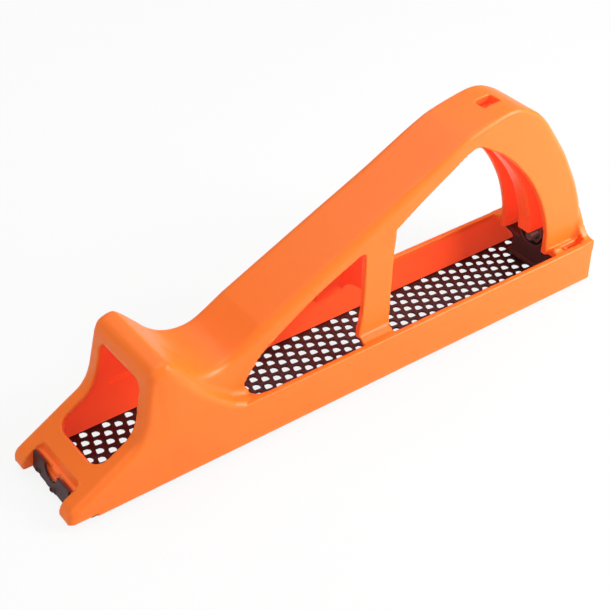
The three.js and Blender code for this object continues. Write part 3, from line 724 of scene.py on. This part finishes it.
class Socket:
    """A node's output that takes part in sums: each operator adds one Math node."""

    def __init__(self, tree, socket):
        self.tree = tree
        self.socket = socket

    def math(self, operation, other):
        return self.tree.node("Math", {0: self, 1: other}, operation=operation)

    def __add__(self, other):
        return self.math("ADD", other)

    def __mul__(self, other):
        return self.math("MULTIPLY", other)

    __radd__ = __add__
    __rmul__ = __mul__


class Finish:
    """A material's node tree. Its node method adds a node with socket values or links, and with settings."""

    def __init__(self, name):
        self.material = bpy.data.materials.new(name)
        self.material.use_nodes = True
        self.nodes = self.material.node_tree.nodes
        self.links = self.material.node_tree.links
        self.shader = self.nodes["Principled BSDF"]

    def node(self, kind, sockets=None, output=0, **settings):
        made = self.nodes.new("ShaderNode" + kind)
        for key, value in settings.items():
            setattr(made, key, value)
        self.fill(made, sockets or {})
        return Socket(self, made.outputs[output])

    def fill(self, made, sockets):
        for key, value in sockets.items():
            if isinstance(value, Socket):
                self.links.new(value.socket, made.inputs[key])
            elif isinstance(value, tuple) and made.inputs[key].type == "RGBA":
                made.inputs[key].default_value = (*value, 1.0)
            else:
                made.inputs[key].default_value = value

    def surface(self, **sockets):
        self.fill(self.shader, {key.replace("_", " "): value for key, value in sockets.items()})
        return self.material

    def noise(self, scale, detail, roughness, stretch=None):
        place = self.node("TexCoord", output="Object")
        if stretch:
            place = self.node("Mapping", {"Vector": place, "Scale": stretch})
        sockets = {"Vector": place, "Scale": scale, "Detail": detail, "Roughness": roughness}
        return self.node("TexNoise", sockets)

    def mix(self, share, first, second):
        return self.node("Mix", {"Factor": share, 6: first, 7: second}, 2, data_type="RGBA")

    def bump(self, height, distance):
        return self.node("Bump", {"Height": height, "Distance": distance, "Strength": 1.0})


BLACK = (0.0, 0.0, 0.0)
PLASTIC = (0.94, 0.19, 0.02)
PLASTIC_DEEP = (0.92, 0.17, 0.016)
# Inner faces get a redder base colour and a faint red emission. This is a painted glow for light bounced
# between and carried through the thin orange walls.
PAINTED_INNER_RED = (0.9, 0.09, 0.016)
PAINTED_INNER_GLOW = (0.3, 0.03, 0.012)
BUMP_DEPTH = 0.02 * MM
SCATTER_DEPTH = 2.5 * MM

plastic = Finish("orange_plastic")
cloud = plastic.noise(scale=26.0, detail=3.0, roughness=0.55)
spark = plastic.noise(scale=2600.0, detail=2.0, roughness=0.6)
scuff = plastic.noise(scale=340.0, detail=4.0, roughness=0.7, stretch=(0.3, 1.0, 1.0))
# The depth attribute mixes the painted red glow onto the inner faces, as base colour and as emission.
depth = plastic.node("Attribute", output="Fac", attribute_name="depth")
plastic_material = plastic.surface(
    Base_Color=plastic.mix(depth, plastic.mix(cloud, PLASTIC, PLASTIC_DEEP), PAINTED_INNER_RED),
    Roughness=0.3 + 0.1 * scuff,
    Emission_Color=plastic.mix(depth, BLACK, PAINTED_INNER_GLOW),
    Normal=plastic.bump(0.7 * spark + 0.3 * scuff, BUMP_DEPTH),
    Emission_Strength=1.0,
    Specular_IOR_Level=0.28,
    IOR=1.5,
    Subsurface_Weight=0.25,
    Subsurface_Radius=(1.0, 0.25, 0.1),
    Subsurface_Scale=SCATTER_DEPTH,
)

# The net's grid planes beside the blade fall in the middle of the two thin skirts.
NET_SPAN = 43.3
NET_CELLS_ACROSS = 43
NET_STEP = (1.0, NET_SPAN / NET_CELLS_ACROSS, 1.0)
END_MARGIN = 2.3
SIDE_MARGIN = 2.25
FOOT_MARGIN = 2.2
TOP_MARGIN = 2.4
HALF_SKIRT = 0.35
NET_LOW = (NOSE_TIP - END_MARGIN, -BAY_HALF - HALF_SKIRT - 2 * NET_STEP[1], SKIRT_FOOT - FOOT_MARGIN)
NET_HIGH = (HEEL_END + END_MARGIN, BODY_HALF + SIDE_MARGIN, CROWN_TOP + TOP_MARGIN)

# The painted inner glow is weaker round the slot, where more light gets in.
SLOT_PAINTED_GLOW_SHARE = 0.45
SLOT_LIGHT_START = SLOT_REAR + 3
SLOT_LIGHT_END = SLOT_REAR + 10

body_points, body_faces, body_normals = surface_net(body_field, NET_LOW, NET_HIGH, NET_STEP)
body = piece("moulded_body", body_points, body_faces, plastic_material, body_normals)
# How deep a point lies inside the outer shape sets how much painted inner glow it gets.
painted_glow_share = np.clip(-envelope(*body_points.T) / WALL, 0, 1)
past_slot = ramp(body_points[:, 0], SLOT_LIGHT_START, SLOT_LIGHT_END)
painted_glow_share *= SLOT_PAINTED_GLOW_SHARE + (1 - SLOT_PAINTED_GLOW_SHARE) * past_slot
body.data.attributes.new("depth", "FLOAT", "POINT").data.foreach_set("value", painted_glow_share)
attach(body, "frame")
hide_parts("body")

# Blade
# A sheet of hardened steel with rows of punched holes. Each hole's front edge is pressed down into a tooth.
# Its ends turn up into tabs with a half-round notch, which hook on the crossbar and on the bracket.
SHEET = 0.9
SHEET_MIDDLE = BLADE_TOP - SHEET / 2
SHEET_HALF = 21.0
SHEET_FRONT = -125.0
SHEET_REAR = 125.0

# The lattice of holes
ROW_COUNT = 17
ROW_PITCH = 2.27
ROW_SHIFT = 4.18
ROW_OFFSET = 0.45
HOLE_PITCH = 10.0
FIRST_HOLE = SHEET_FRONT + 1.4
PATTERN_START = SHEET_FRONT - 2.0
TAB_PATTERN_END = SHEET_FRONT + 8.0
TAB_PATTERN_MARGIN = 2
EDGE_ROW = 17.5
EDGE_ROW_END = 118.0
INNER_ROW_END = SHEET_REAR - 13.9
SPARE_ROWS = 2
FIRST_TURN = -3
TURN_END = 29
STEP_ALONG = np.array([ROW_SHIFT, -ROW_PITCH])
STEP_ACROSS = np.array([HOLE_PITCH - 2 * ROW_SHIFT, 2 * ROW_PITCH])

# One hole with its tooth
HOLE_LEAD = 1.7
HOLE_MIDDLE = 0.9
HOLE_FRONT = -1.75
HOLE_REAR = 1.45
HOLE_HALF = 1.8
FLAT_POWER = 6.0
ROUND_POWER = 1.9
MIDDLE_RING = 0.65
TOOTH_DROP = 1.2
MIDDLE_DROP_SHARE = 0.3
TOOTH_SPREAD = 1.05
WELD = 0.02
CUT_TOLERANCE = 0.0001

# The tabs
TAB_HALF = 13.4
TAB_TOP = 10.45
BEND_RADIUS = 0.9
BEND_STEPS = 5
NOTCH_RADIUS = 4.7
NOTCH_STEPS = 10
FRONT_TAB_RUN = 1.2
FRONT_TAB_RISE = 9.2
FRONT_TURN = np.pi / 2 + np.arctan2(FRONT_TAB_RUN, FRONT_TAB_RISE)
REAR_TURN = np.pi / 2
FRONT_MIDDLE = SHEET_FRONT + BEND_RADIUS + SHEET / 2
REAR_MIDDLE = SHEET_REAR - BEND_RADIUS - SHEET / 2
FRONT_SHOULDER = CROSSBAR_X + 1.0
REAR_SHOULDER = SHEET_REAR - 2.0


def tab_run(turn):
    """The flat length of a tab: round the bend, then straight up to the tab's top."""
    climbed = BEND_RADIUS * (1 - np.cos(turn))
    return BEND_RADIUS * turn + (TAB_TOP - SHEET_MIDDLE - climbed) / np.sin(turn)


def turned_up(points, middle, turn, way):
    """Points of the flat pattern carried round a bend: way is -1 at the front and 1 at the rear."""
    along = way * (points[:, 0] - middle)
    angle = np.clip(along / BEND_RADIUS, 0, turn)
    straight = np.maximum(along - BEND_RADIUS * turn, 0)
    out = BEND_RADIUS * np.sin(angle) + straight * np.cos(turn)
    up = BEND_RADIUS * (1 - np.cos(angle)) + straight * np.sin(turn)
    drop = points[:, 2] - SHEET_MIDDLE
    bent = points.copy()
    bent[:, 0] = middle + way * (out - drop * np.sin(angle))
    bent[:, 2] = SHEET_MIDDLE + up + drop * np.cos(angle)
    return np.where((along > 0)[:, None], bent, points)


def cell_rings():
    """Three rings of twelve points round a hole's middle: the cell's edge, part way in, and the hole.

    The hole has a flat front, straight sides and a round rear, like a loaf. The middle ring starts the tooth.
    """
    share = np.array([-1 / 2, -1 / 6, 1 / 6])[:, None]
    edge = np.vstack([
        share * STEP_ALONG - STEP_ACROSS / 2,
        STEP_ALONG / 2 + share * STEP_ACROSS,
        -share * STEP_ALONG + STEP_ACROSS / 2,
        -STEP_ALONG / 2 - share * STEP_ACROSS,
    ])
    angle = np.arctan2(edge[:, 1], edge[:, 0] - HOLE_MIDDLE)
    across, along = np.sin(angle), np.cos(angle)
    power = np.where(along < 0, FLAT_POWER, ROUND_POWER)
    reach = (np.abs(across) ** power + np.abs(along) ** power) ** (-1 / power)
    length = np.where(along < 0, -HOLE_FRONT, HOLE_REAR)
    hole = np.stack([along * reach * length, across * reach * HOLE_HALF], axis=1)
    hole[:, 0] += HOLE_MIDDLE
    return edge, MIDDLE_RING * hole + (1 - MIDDLE_RING) * edge, hole


def pressed(points):
    """How far the sheet is pressed down at a point of a cell: most at the middle of the hole's front edge."""
    front = np.clip((HOLE_MIDDLE - points[:, 0]) / -HOLE_FRONT, 0, 1) ** 2
    return front * np.clip(1 - (np.abs(points[:, 1]) / (HOLE_HALF * TOOTH_SPREAD)) ** 2, 0, 1)


def lattice():
    """The cells' middles, over the whole sheet and past its edges, and which of the cells are punched."""
    rows = np.arange(-SPARE_ROWS, ROW_COUNT + SPARE_ROWS)
    turns = np.arange(FIRST_TURN, TURN_END)
    row, turn = (grid.ravel() for grid in np.meshgrid(rows, turns, indexing="ij"))
    wide_end = FIRST_HOLE + ((ROW_COUNT - 1 - row) * ROW_SHIFT) % HOLE_PITCH + turn * HOLE_PITCH
    across = (row - (ROW_COUNT - 1) / 2) * ROW_PITCH + ROW_OFFSET
    last_end = np.where(np.abs(across) > EDGE_ROW, EDGE_ROW_END, INNER_ROW_END)
    punched = (row >= 0) & (row < ROW_COUNT) & (wide_end > PATTERN_START) & (wide_end <= last_end)
    punched &= (wide_end > TAB_PATTERN_END) | (np.abs(across) < TAB_HALF - TAB_PATTERN_MARGIN)
    return np.stack([wide_end + HOLE_LEAD, across], axis=1), punched


def flat_pattern():
    """The flat sheet as cells: a punched one has three rings of points, a plain one is a single face."""
    centres, punched = lattice()
    edge, middle, hole = cell_rings()
    sides = len(edge)
    layers = []
    for ring, drop in ((edge, 0.0), (middle, MIDDLE_DROP_SHARE), (hole, 1.0)):
        places = (centres[punched][:, None] + ring).reshape(-1, 2)
        level = np.tile(drop * TOOTH_DROP * pressed(ring), punched.sum())
        layers.append(np.column_stack([places, SHEET_MIDDLE - level]))
    places = (centres[~punched][:, None] + edge).reshape(-1, 2)
    layers.append(np.column_stack([places, np.full(len(places), SHEET_MIDDLE)]))
    first = np.arange(punched.sum())[:, None] * sides
    corner = first + np.arange(sides)
    after = first + (np.arange(sides) + 1) % sides
    inward = np.stack([corner, after, after + corner.size, corner + corner.size], axis=2).reshape(-1, 4)
    quads = np.vstack([inward, inward + corner.size])
    plain = 3 * corner.size + np.arange(len(places)).reshape(-1, sides)
    mesh = bpy.data.meshes.new("flat_pattern")
    mesh.from_pydata(np.vstack(layers).tolist(), [], quads.tolist() + plain.tolist())
    pattern = bmesh.new()
    pattern.from_mesh(mesh)
    bpy.data.meshes.remove(mesh)
    bmesh.ops.remove_doubles(pattern, verts=pattern.verts, dist=WELD)
    return pattern


def trim(pattern, place, outward, clear=True):
    """Cut the flat pattern along a line, and drop what lies on the outward side if clear is set."""
    parts = pattern.verts[:] + pattern.edges[:] + pattern.faces[:]
    bmesh.ops.bisect_plane(
        pattern, geom=parts, dist=CUT_TOLERANCE, plane_co=(*place, 0), plane_no=(*outward, 0),
        clear_outer=clear,
    )


def drop_faces(pattern, test):
    """Drop the faces whose middles pass a test."""
    gone = [face for face in pattern.faces if test(face.calc_center_median())]
    bmesh.ops.delete(pattern, geom=gone, context="FACES")


def cut_tabs(pattern, front_top, rear_top):
    """Trim the pattern to the sheet's sides and the tabs' tops, and cut away the corners beside the tabs."""
    trim(pattern, (0, SHEET_HALF), (0, 1))
    trim(pattern, (0, -SHEET_HALF), (0, -1))
    trim(pattern, (front_top, 0), (-1, 0))
    trim(pattern, (rear_top, 0), (1, 0))
    for side in (TAB_HALF, -TAB_HALF):
        trim(pattern, (0, side), (0, 1), False)
    for line in (FRONT_SHOULDER, REAR_SHOULDER):
        trim(pattern, (line, 0), (1, 0), False)
    drop_faces(pattern, lambda c: abs(c.y) > TAB_HALF and (c.x < FRONT_SHOULDER or c.x > REAR_SHOULDER))


def cut_notch(pattern, top):
    """Cut the half-round notch in a tab's top, after lines across the tab that follow its rim."""
    for turn in np.linspace(0, np.pi, NOTCH_STEPS + 1):
        outward = np.array([-np.sign(top) * np.sin(turn), np.cos(turn)])
        trim(pattern, np.array([top, 0]) + NOTCH_RADIUS * outward, outward, False)
    drop_faces(pattern, lambda c: np.hypot(c.x - top, c.y) < NOTCH_RADIUS)


def blade_mesh():
    """The punched sheet: the flat pattern trimmed, lined at its bends, notched and turned up at its ends."""
    pattern = flat_pattern()
    front_top = FRONT_MIDDLE - tab_run(FRONT_TURN)
    rear_top = REAR_MIDDLE + tab_run(REAR_TURN)
    cut_tabs(pattern, front_top, rear_top)
    for bend in np.linspace(0, 1, BEND_STEPS + 1):
        trim(pattern, (FRONT_MIDDLE - bend * BEND_RADIUS * FRONT_TURN, 0), (1, 0), False)
        trim(pattern, (REAR_MIDDLE + bend * BEND_RADIUS * REAR_TURN, 0), (1, 0), False)
    for top in (front_top, rear_top):
        cut_notch(pattern, top)
    bmesh.ops.recalc_face_normals(pattern, faces=pattern.faces[:])
    mesh = bpy.data.meshes.new("punched_blade")
    pattern.to_mesh(mesh)
    pattern.free()
    places = np.empty(len(mesh.vertices) * 3)
    mesh.vertices.foreach_get("co", places)
    shaped = turned_up(places.reshape(-1, 3), FRONT_MIDDLE, FRONT_TURN, -1)
    shaped = turned_up(shaped, REAR_MIDDLE, REAR_TURN, 1)
    mesh.vertices.foreach_set("co", (shaped * MM).ravel())
    mesh.update()
    return mesh


# Two dark steel shades, mixed at random. Both are tinted red: a painted reflection of the orange body round
# the blade.
BLADE_LIGHT_WITH_PAINTED_REFLECTION = (0.085, 0.036, 0.036)
BLADE_DARK_WITH_PAINTED_REFLECTION = (0.05, 0.018, 0.02)
BLADE_BUMP = 0.01 * MM

blade_steel = Finish("blade_steel")
blade_cloud = blade_steel.noise(scale=60.0, detail=3.0, roughness=0.6)
blade_grain = blade_steel.noise(scale=900.0, detail=3.0, roughness=0.6, stretch=(0.15, 1.0, 1.0))
blade_material = blade_steel.surface(
    Base_Color=blade_steel.mix(blade_cloud, BLADE_LIGHT_WITH_PAINTED_REFLECTION, BLADE_DARK_WITH_PAINTED_REFLECTION),
    Metallic=0.7,
    Roughness=0.38 + 0.18 * blade_grain,
    Normal=blade_steel.bump(blade_grain, BLADE_BUMP),
)
blade = added("punched_blade", blade_mesh())
blade.data.materials.append(blade_material)
thicken = blade.modifiers.new("sheet", "SOLIDIFY")
thicken.thickness = SHEET * MM
thicken.offset = 0.0
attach(blade, "blade")
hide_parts("rasp_blade")

# Tension bracket
# One stamped steel piece: an upright plate with an ear on each side, a half-round cup in its top, and a foot.
# The cup is open to the nose and above, and its rear wall is slotted for the screw.
PLATE_FRONT = 112.6
PLATE_HALF = 11.2
PLATE_MIDDLE = 8.3
PLATE_HALF_HEIGHT = 5.8
PLATE_HALF_THICKNESS = 1.0
CUP_LEVEL = SCREW_LEVEL + 2.3
CUP_RADIUS = 8.5
CUP_WALL = 1.7
CUP_REAR = 120.6
CUP_LIP = 1.0
EAR_END = 17.2
EAR_START = CUP_RADIUS - 1
EAR_LEVEL = 13.9
EAR_SLOPE = 0.27
EAR_BEND = 11
EAR_HALF_HEIGHT = 1.3
EAR_HALF_DEPTH = 3.0
FOOT_REAR = 123.8
FOOT_THICKNESS = 2.0
SCREW_SLOT_HALF = 2.7
PRESS_ROUND = 0.9
PRESS_FILLET = 1.2
CUP_FILLET = 3.0
BRACKET_BOX = ((111.7, -19.6, 1.7), (124.8, 19.6, 22.6))
BRACKET_NET_STEP = 0.36


def cup_round(y, z, radius):
    """A half round with straight sides above its middle, seen along the blade."""
    return np.hypot(y, np.minimum(z - CUP_LEVEL, 0)) - radius


def ears_field(x, wide, z):
    """The two ears: bars that run out from the cup's sides and rise a little."""
    rise = EAR_SLOPE * (wide - EAR_BEND)
    ears = both(wide - EAR_END, np.abs(z - EAR_LEVEL - rise) - EAR_HALF_HEIGHT, EDGE_ROUND)
    ears = both(ears, np.abs(x - PLATE_FRONT - EAR_HALF_DEPTH) - EAR_HALF_DEPTH, PRESS_ROUND)
    return both(ears, EAR_START - wide)


def bracket_field(x, y, z):
    """The plate with its ears and foot, the tube of the cup, its hollow, and the slot for the screw."""
    wide = np.abs(y)
    plate = both(wide - PLATE_HALF, np.abs(z - PLATE_MIDDLE) - PLATE_HALF_HEIGHT, PLATE_HALF_THICKNESS)
    cup = both(cup_round(y, z, CUP_RADIUS), z - CUP_LEVEL - CUP_LIP, EDGE_ROUND)
    through = np.abs(x - PLATE_FRONT - PLATE_HALF_THICKNESS) - PLATE_HALF_THICKNESS
    upright = both(joined(plate, cup, CUP_FILLET), through, PRESS_ROUND)
    upright = joined(upright, ears_field(x, wide, z), PRESS_FILLET)
    foot_low = (PLATE_FRONT, -TAB_HALF, BODY_FOOT)
    foot = block(x, y, z, foot_low, (FOOT_REAR, TAB_HALF, BODY_FOOT + FOOT_THICKNESS), EDGE_ROUND)
    tube = both(cup, between(x, PLATE_FRONT, CUP_REAR), PRESS_ROUND)
    solid = joined(joined(upright, foot, PRESS_FILLET), tube, CUT_ROUND)
    hollow = both(cup_round(y, z, CUP_RADIUS - CUP_WALL), x - CUP_REAR + CUP_WALL, PRESS_FILLET)
    solid = without(solid, hollow, CUT_ROUND)
    return without(solid, np.hypot(y, np.minimum(z - SCREW_LEVEL, 0)) - SCREW_SLOT_HALF, FAINT_ROUND)


def steel(name, light, dark, roughness, streak):
    """Coated or plated steel: patches of two shades, with fine streaks one way."""
    finish = Finish(name)
    patch = finish.noise(scale=90.0, detail=3.0, roughness=0.6)
    grain = finish.noise(scale=1100.0, detail=3.0, roughness=0.6, stretch=streak)
    return finish.surface(
        Base_Color=finish.mix(patch, light, dark),
        Metallic=0.65,
        Roughness=roughness + 0.2 * grain,
        Normal=finish.bump(grain, BUMP_DEPTH),
    )


def small_piece(name, field, box, step, material, group):
    """A fine surface of a small piece, in place of its plain solid. The box has room for all of it."""
    points, faces, normals = surface_net(field, *box, step)
    shape = piece(name + "_shape", points, faces, material, normals)
    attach(shape, group)
    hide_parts(name)


bracket_steel = steel(
    "bracket_steel",
    light=(0.17, 0.1, 0.1),
    dark=(0.09, 0.045, 0.045),
    roughness=0.34,
    streak=(1.0, 1.0, 0.12),
)
small_piece(
    "tension_bracket", bracket_field, BRACKET_BOX, BRACKET_NET_STEP, bracket_steel, "tensioner",
)

# Tension nut, screw and washer
# The screw turns in the washer and the hexagon nut, and draws the bracket back. Its thread is right-handed.
BORE_RADIUS = 2.6
NUT_FRONT = 114.6
NUT_REAR = 118.6
NUT_HALF = 4.0
NUT_CORNER = 0.25
NUT_BEVEL = 1.7
THREAD_PITCH = 0.8
THREAD_DEPTH = 0.42
THREAD_END_GAP = 1.2
THREAD_FADE = 0.8
THREAD_EASE = 0.75
SHANK_RADIUS = 2.4
SHANK_TIP = 111.0
SHANK_TAPER = 0.6
SHANK_LAP = 0.5
HEAD_FRONT = 126.4
HEAD_RADIUS = 4.5
HEAD_RIM = 0.7
HEAD_DOME = 1.9
DOME_EASE = 0.8
DOME_ROUND = 0.25
CROSS_REACH = 2.7
CROSS_HALF = 0.6
CROSS_DEPTH = 1.6
CROSS_ROUND = 0.12
WASHER_FRONT = 125.3
WASHER_REAR = 126.1
WASHER_RADIUS = 5.1
TURNED_ROUND = 0.15
CUT_EDGE = 0.1
NUT_BOX = ((114.1, -5.2, 13.8), (119.1, 5.2, 23.0))
SCREW_BOX = ((110.6, -5.0, 13.4), (129.4, 5.0, 23.4))
WASHER_BOX = ((124.9, -5.6, 12.8), (126.5, 5.6, 24.0))
NUT_NET_STEP = 0.25
TURNED_NET_STEP = 0.2


def nut_field(x, y, z):
    """A hexagon with bevelled corners: three pairs of flats, and a cone at each end."""
    z = z - SCREW_LEVEL
    radial = np.hypot(y, z)
    flats = np.maximum(np.abs(z), np.abs(y) * np.cos(np.pi / 6) + np.abs(z) / 2) - NUT_HALF
    length = between(x, NUT_FRONT, NUT_REAR)
    cone = (radial - NUT_HALF - NUT_CORNER + length * NUT_BEVEL) / 2
    return without(both(both(flats, length, TURNED_ROUND), cone), radial - BORE_RADIUS, TURNED_ROUND)


def shank_field(x, y, z):
    """The screw's shank round its own axis. Its radius follows a helix that climbs one pitch a turn."""
    place = x / THREAD_PITCH - np.arctan2(z, y) / (2 * np.pi)
    fade = ramp(HEAD_FRONT - THREAD_END_GAP - x, 0, THREAD_FADE)
    valley = THREAD_DEPTH * np.abs(2 * (place - np.floor(place)) - 1) * fade
    taper = np.clip(SHANK_TIP + SHANK_TAPER - x, 0, 1)
    ends = np.maximum(SHANK_TIP - x, x - HEAD_FRONT - SHANK_LAP)
    return both((np.hypot(y, z) - SHANK_RADIUS + valley + taper) * THREAD_EASE, ends)


def screw_field(x, y, z):
    """The threaded shank and a domed head with a cross cut in it."""
    z = z - SCREW_LEVEL
    dome = np.hypot(np.hypot(y, z), np.maximum(x - HEAD_FRONT - HEAD_RIM, 0) * HEAD_DOME) - HEAD_RADIUS
    head = both(dome * DOME_EASE, np.maximum(HEAD_FRONT - x, x - HEEL_END), DOME_ROUND)
    level_arm = np.maximum(np.abs(y) - CROSS_REACH, np.abs(z) - CROSS_HALF)
    upright_arm = np.maximum(np.abs(z) - CROSS_REACH, np.abs(y) - CROSS_HALF)
    cross = both(np.minimum(level_arm, upright_arm), HEEL_END - CROSS_DEPTH - x, CUT_EDGE)
    return without(joined(shank_field(x, y, z), head, FAINT_ROUND), cross, CROSS_ROUND)


def washer_field(x, y, z):
    """A flat ring with eased edges."""
    radial = np.hypot(y, z - SCREW_LEVEL)
    disc = both(radial - WASHER_RADIUS, between(x, WASHER_FRONT, WASHER_REAR), TURNED_ROUND)
    return without(disc, radial - BORE_RADIUS, CUT_EDGE)


fastener_steel = steel(
    "fastener_steel",
    light=(0.3, 0.28, 0.27),
    dark=(0.2, 0.19, 0.185),
    roughness=0.3,
    streak=(1.0, 0.2, 1.0),
)
for name, field, box, net_step, group in (
    ("tension_nut", nut_field, NUT_BOX, NUT_NET_STEP, "tensioner"),
    ("tension_screw", screw_field, SCREW_BOX, TURNED_NET_STEP, "screw"),
    ("screw_washer", washer_field, WASHER_BOX, TURNED_NET_STEP, "frame"),
):
    small_piece(name, field, box, net_step, fastener_steel, group)

# Floor and lights
# A plain pale floor under the tooth tips, and soft lamps as in a small studio. To the camera the floor is
# mostly clear, in front of a white surround. It keeps a soft shadow, and shows the blade swung down below it.
FLOOR_HALF = 4.0
FLOOR_CORNERS = [(-1, -1), (1, -1), (1, 1), (-1, 1)]
FLOOR_COLOUR = (0.7, 0.7, 0.7)
CLEAR_SHARE = 0.86
MIRROR_GLOW = 0.3
WHITE = (1.0, 1.0, 1.0)

floor_finish = Finish("floor")
seen = floor_finish.node("LightPath", output="Is Camera Ray")
mirrored = floor_finish.node("LightPath", output="Is Glossy Ray")
glow = floor_finish.node("Emission", {"Color": WHITE, "Strength": 1.0})
clear = floor_finish.node("BsdfTransparent")
lit = Socket(floor_finish, floor_finish.shader.outputs[0])
lifted = floor_finish.node("MixShader", {0: MIRROR_GLOW * mirrored, 1: lit, 2: glow})
pale = floor_finish.node("MixShader", {0: CLEAR_SHARE * seen, 1: lifted, 2: clear})
floor_finish.links.new(pale.socket, floor_finish.nodes["Material Output"].inputs["Surface"])

floor_mesh = bpy.data.meshes.new("floor")
floor_mesh.from_pydata([(x * FLOOR_HALF, y * FLOOR_HALF, 0) for x, y in FLOOR_CORNERS], [], [(0, 1, 2, 3)])
floor = added("floor", floor_mesh)
floor_mesh.materials.append(floor_finish.surface(Base_Color=FLOOR_COLOUR, Roughness=0.8))

# Square soft lamps: each one's place, the point it faces, its size and its power in watts
LAMPS = {
    "key": ((0.42, -0.36, 0.34), (0.04, 0, 0.03), 0.35, 5.2),
    "fill": ((-0.9, -0.35, 0.6), (0, 0, 0.03), 0.8, 3.0),
    "top": ((0.1, 0.4, 1.1), (0, 0, 0.03), 0.8, 5.0),
}

for name, (place, target, size, power) in LAMPS.items():
    light = bpy.data.lights.new(name, "AREA")
    light.size = size
    light.energy = power
    away = np.array(place, float) - np.array(target, float)
    away /= np.linalg.norm(away)
    side = np.cross((0, 0, 1.0), away)
    side /= np.linalg.norm(side)
    axes = np.column_stack([side, np.cross(away, side), away])
    added(name, light).matrix_world = Matrix.Translation(place) @ Matrix(axes.tolist()).to_4x4()

SKY_LIGHT = 0.4
BACKDROP_LIGHT = 1.0
world = bpy.data.worlds.new("studio")
world.use_nodes = True
sky = world.node_tree.nodes
sky_links = world.node_tree.links
rays = sky.new("ShaderNodeLightPath")
surround = sky.new("ShaderNodeMixShader")
sky_links.new(rays.outputs["Is Camera Ray"], surround.inputs[0])
backdrops = ((1, sky["Background"], SKY_LIGHT), (2, sky.new("ShaderNodeBackground"), BACKDROP_LIGHT))
for place, backdrop, strength in backdrops:
    backdrop.inputs["Color"].default_value = (*WHITE, 1.0)
    backdrop.inputs["Strength"].default_value = strength
    sky_links.new(backdrop.outputs[0], surround.inputs[place])
sky_links.new(surround.outputs[0], sky["World Output"].inputs["Surface"])
bpy.context.scene.world = world
bpy.context.scene.view_settings.view_transform = "Standard"
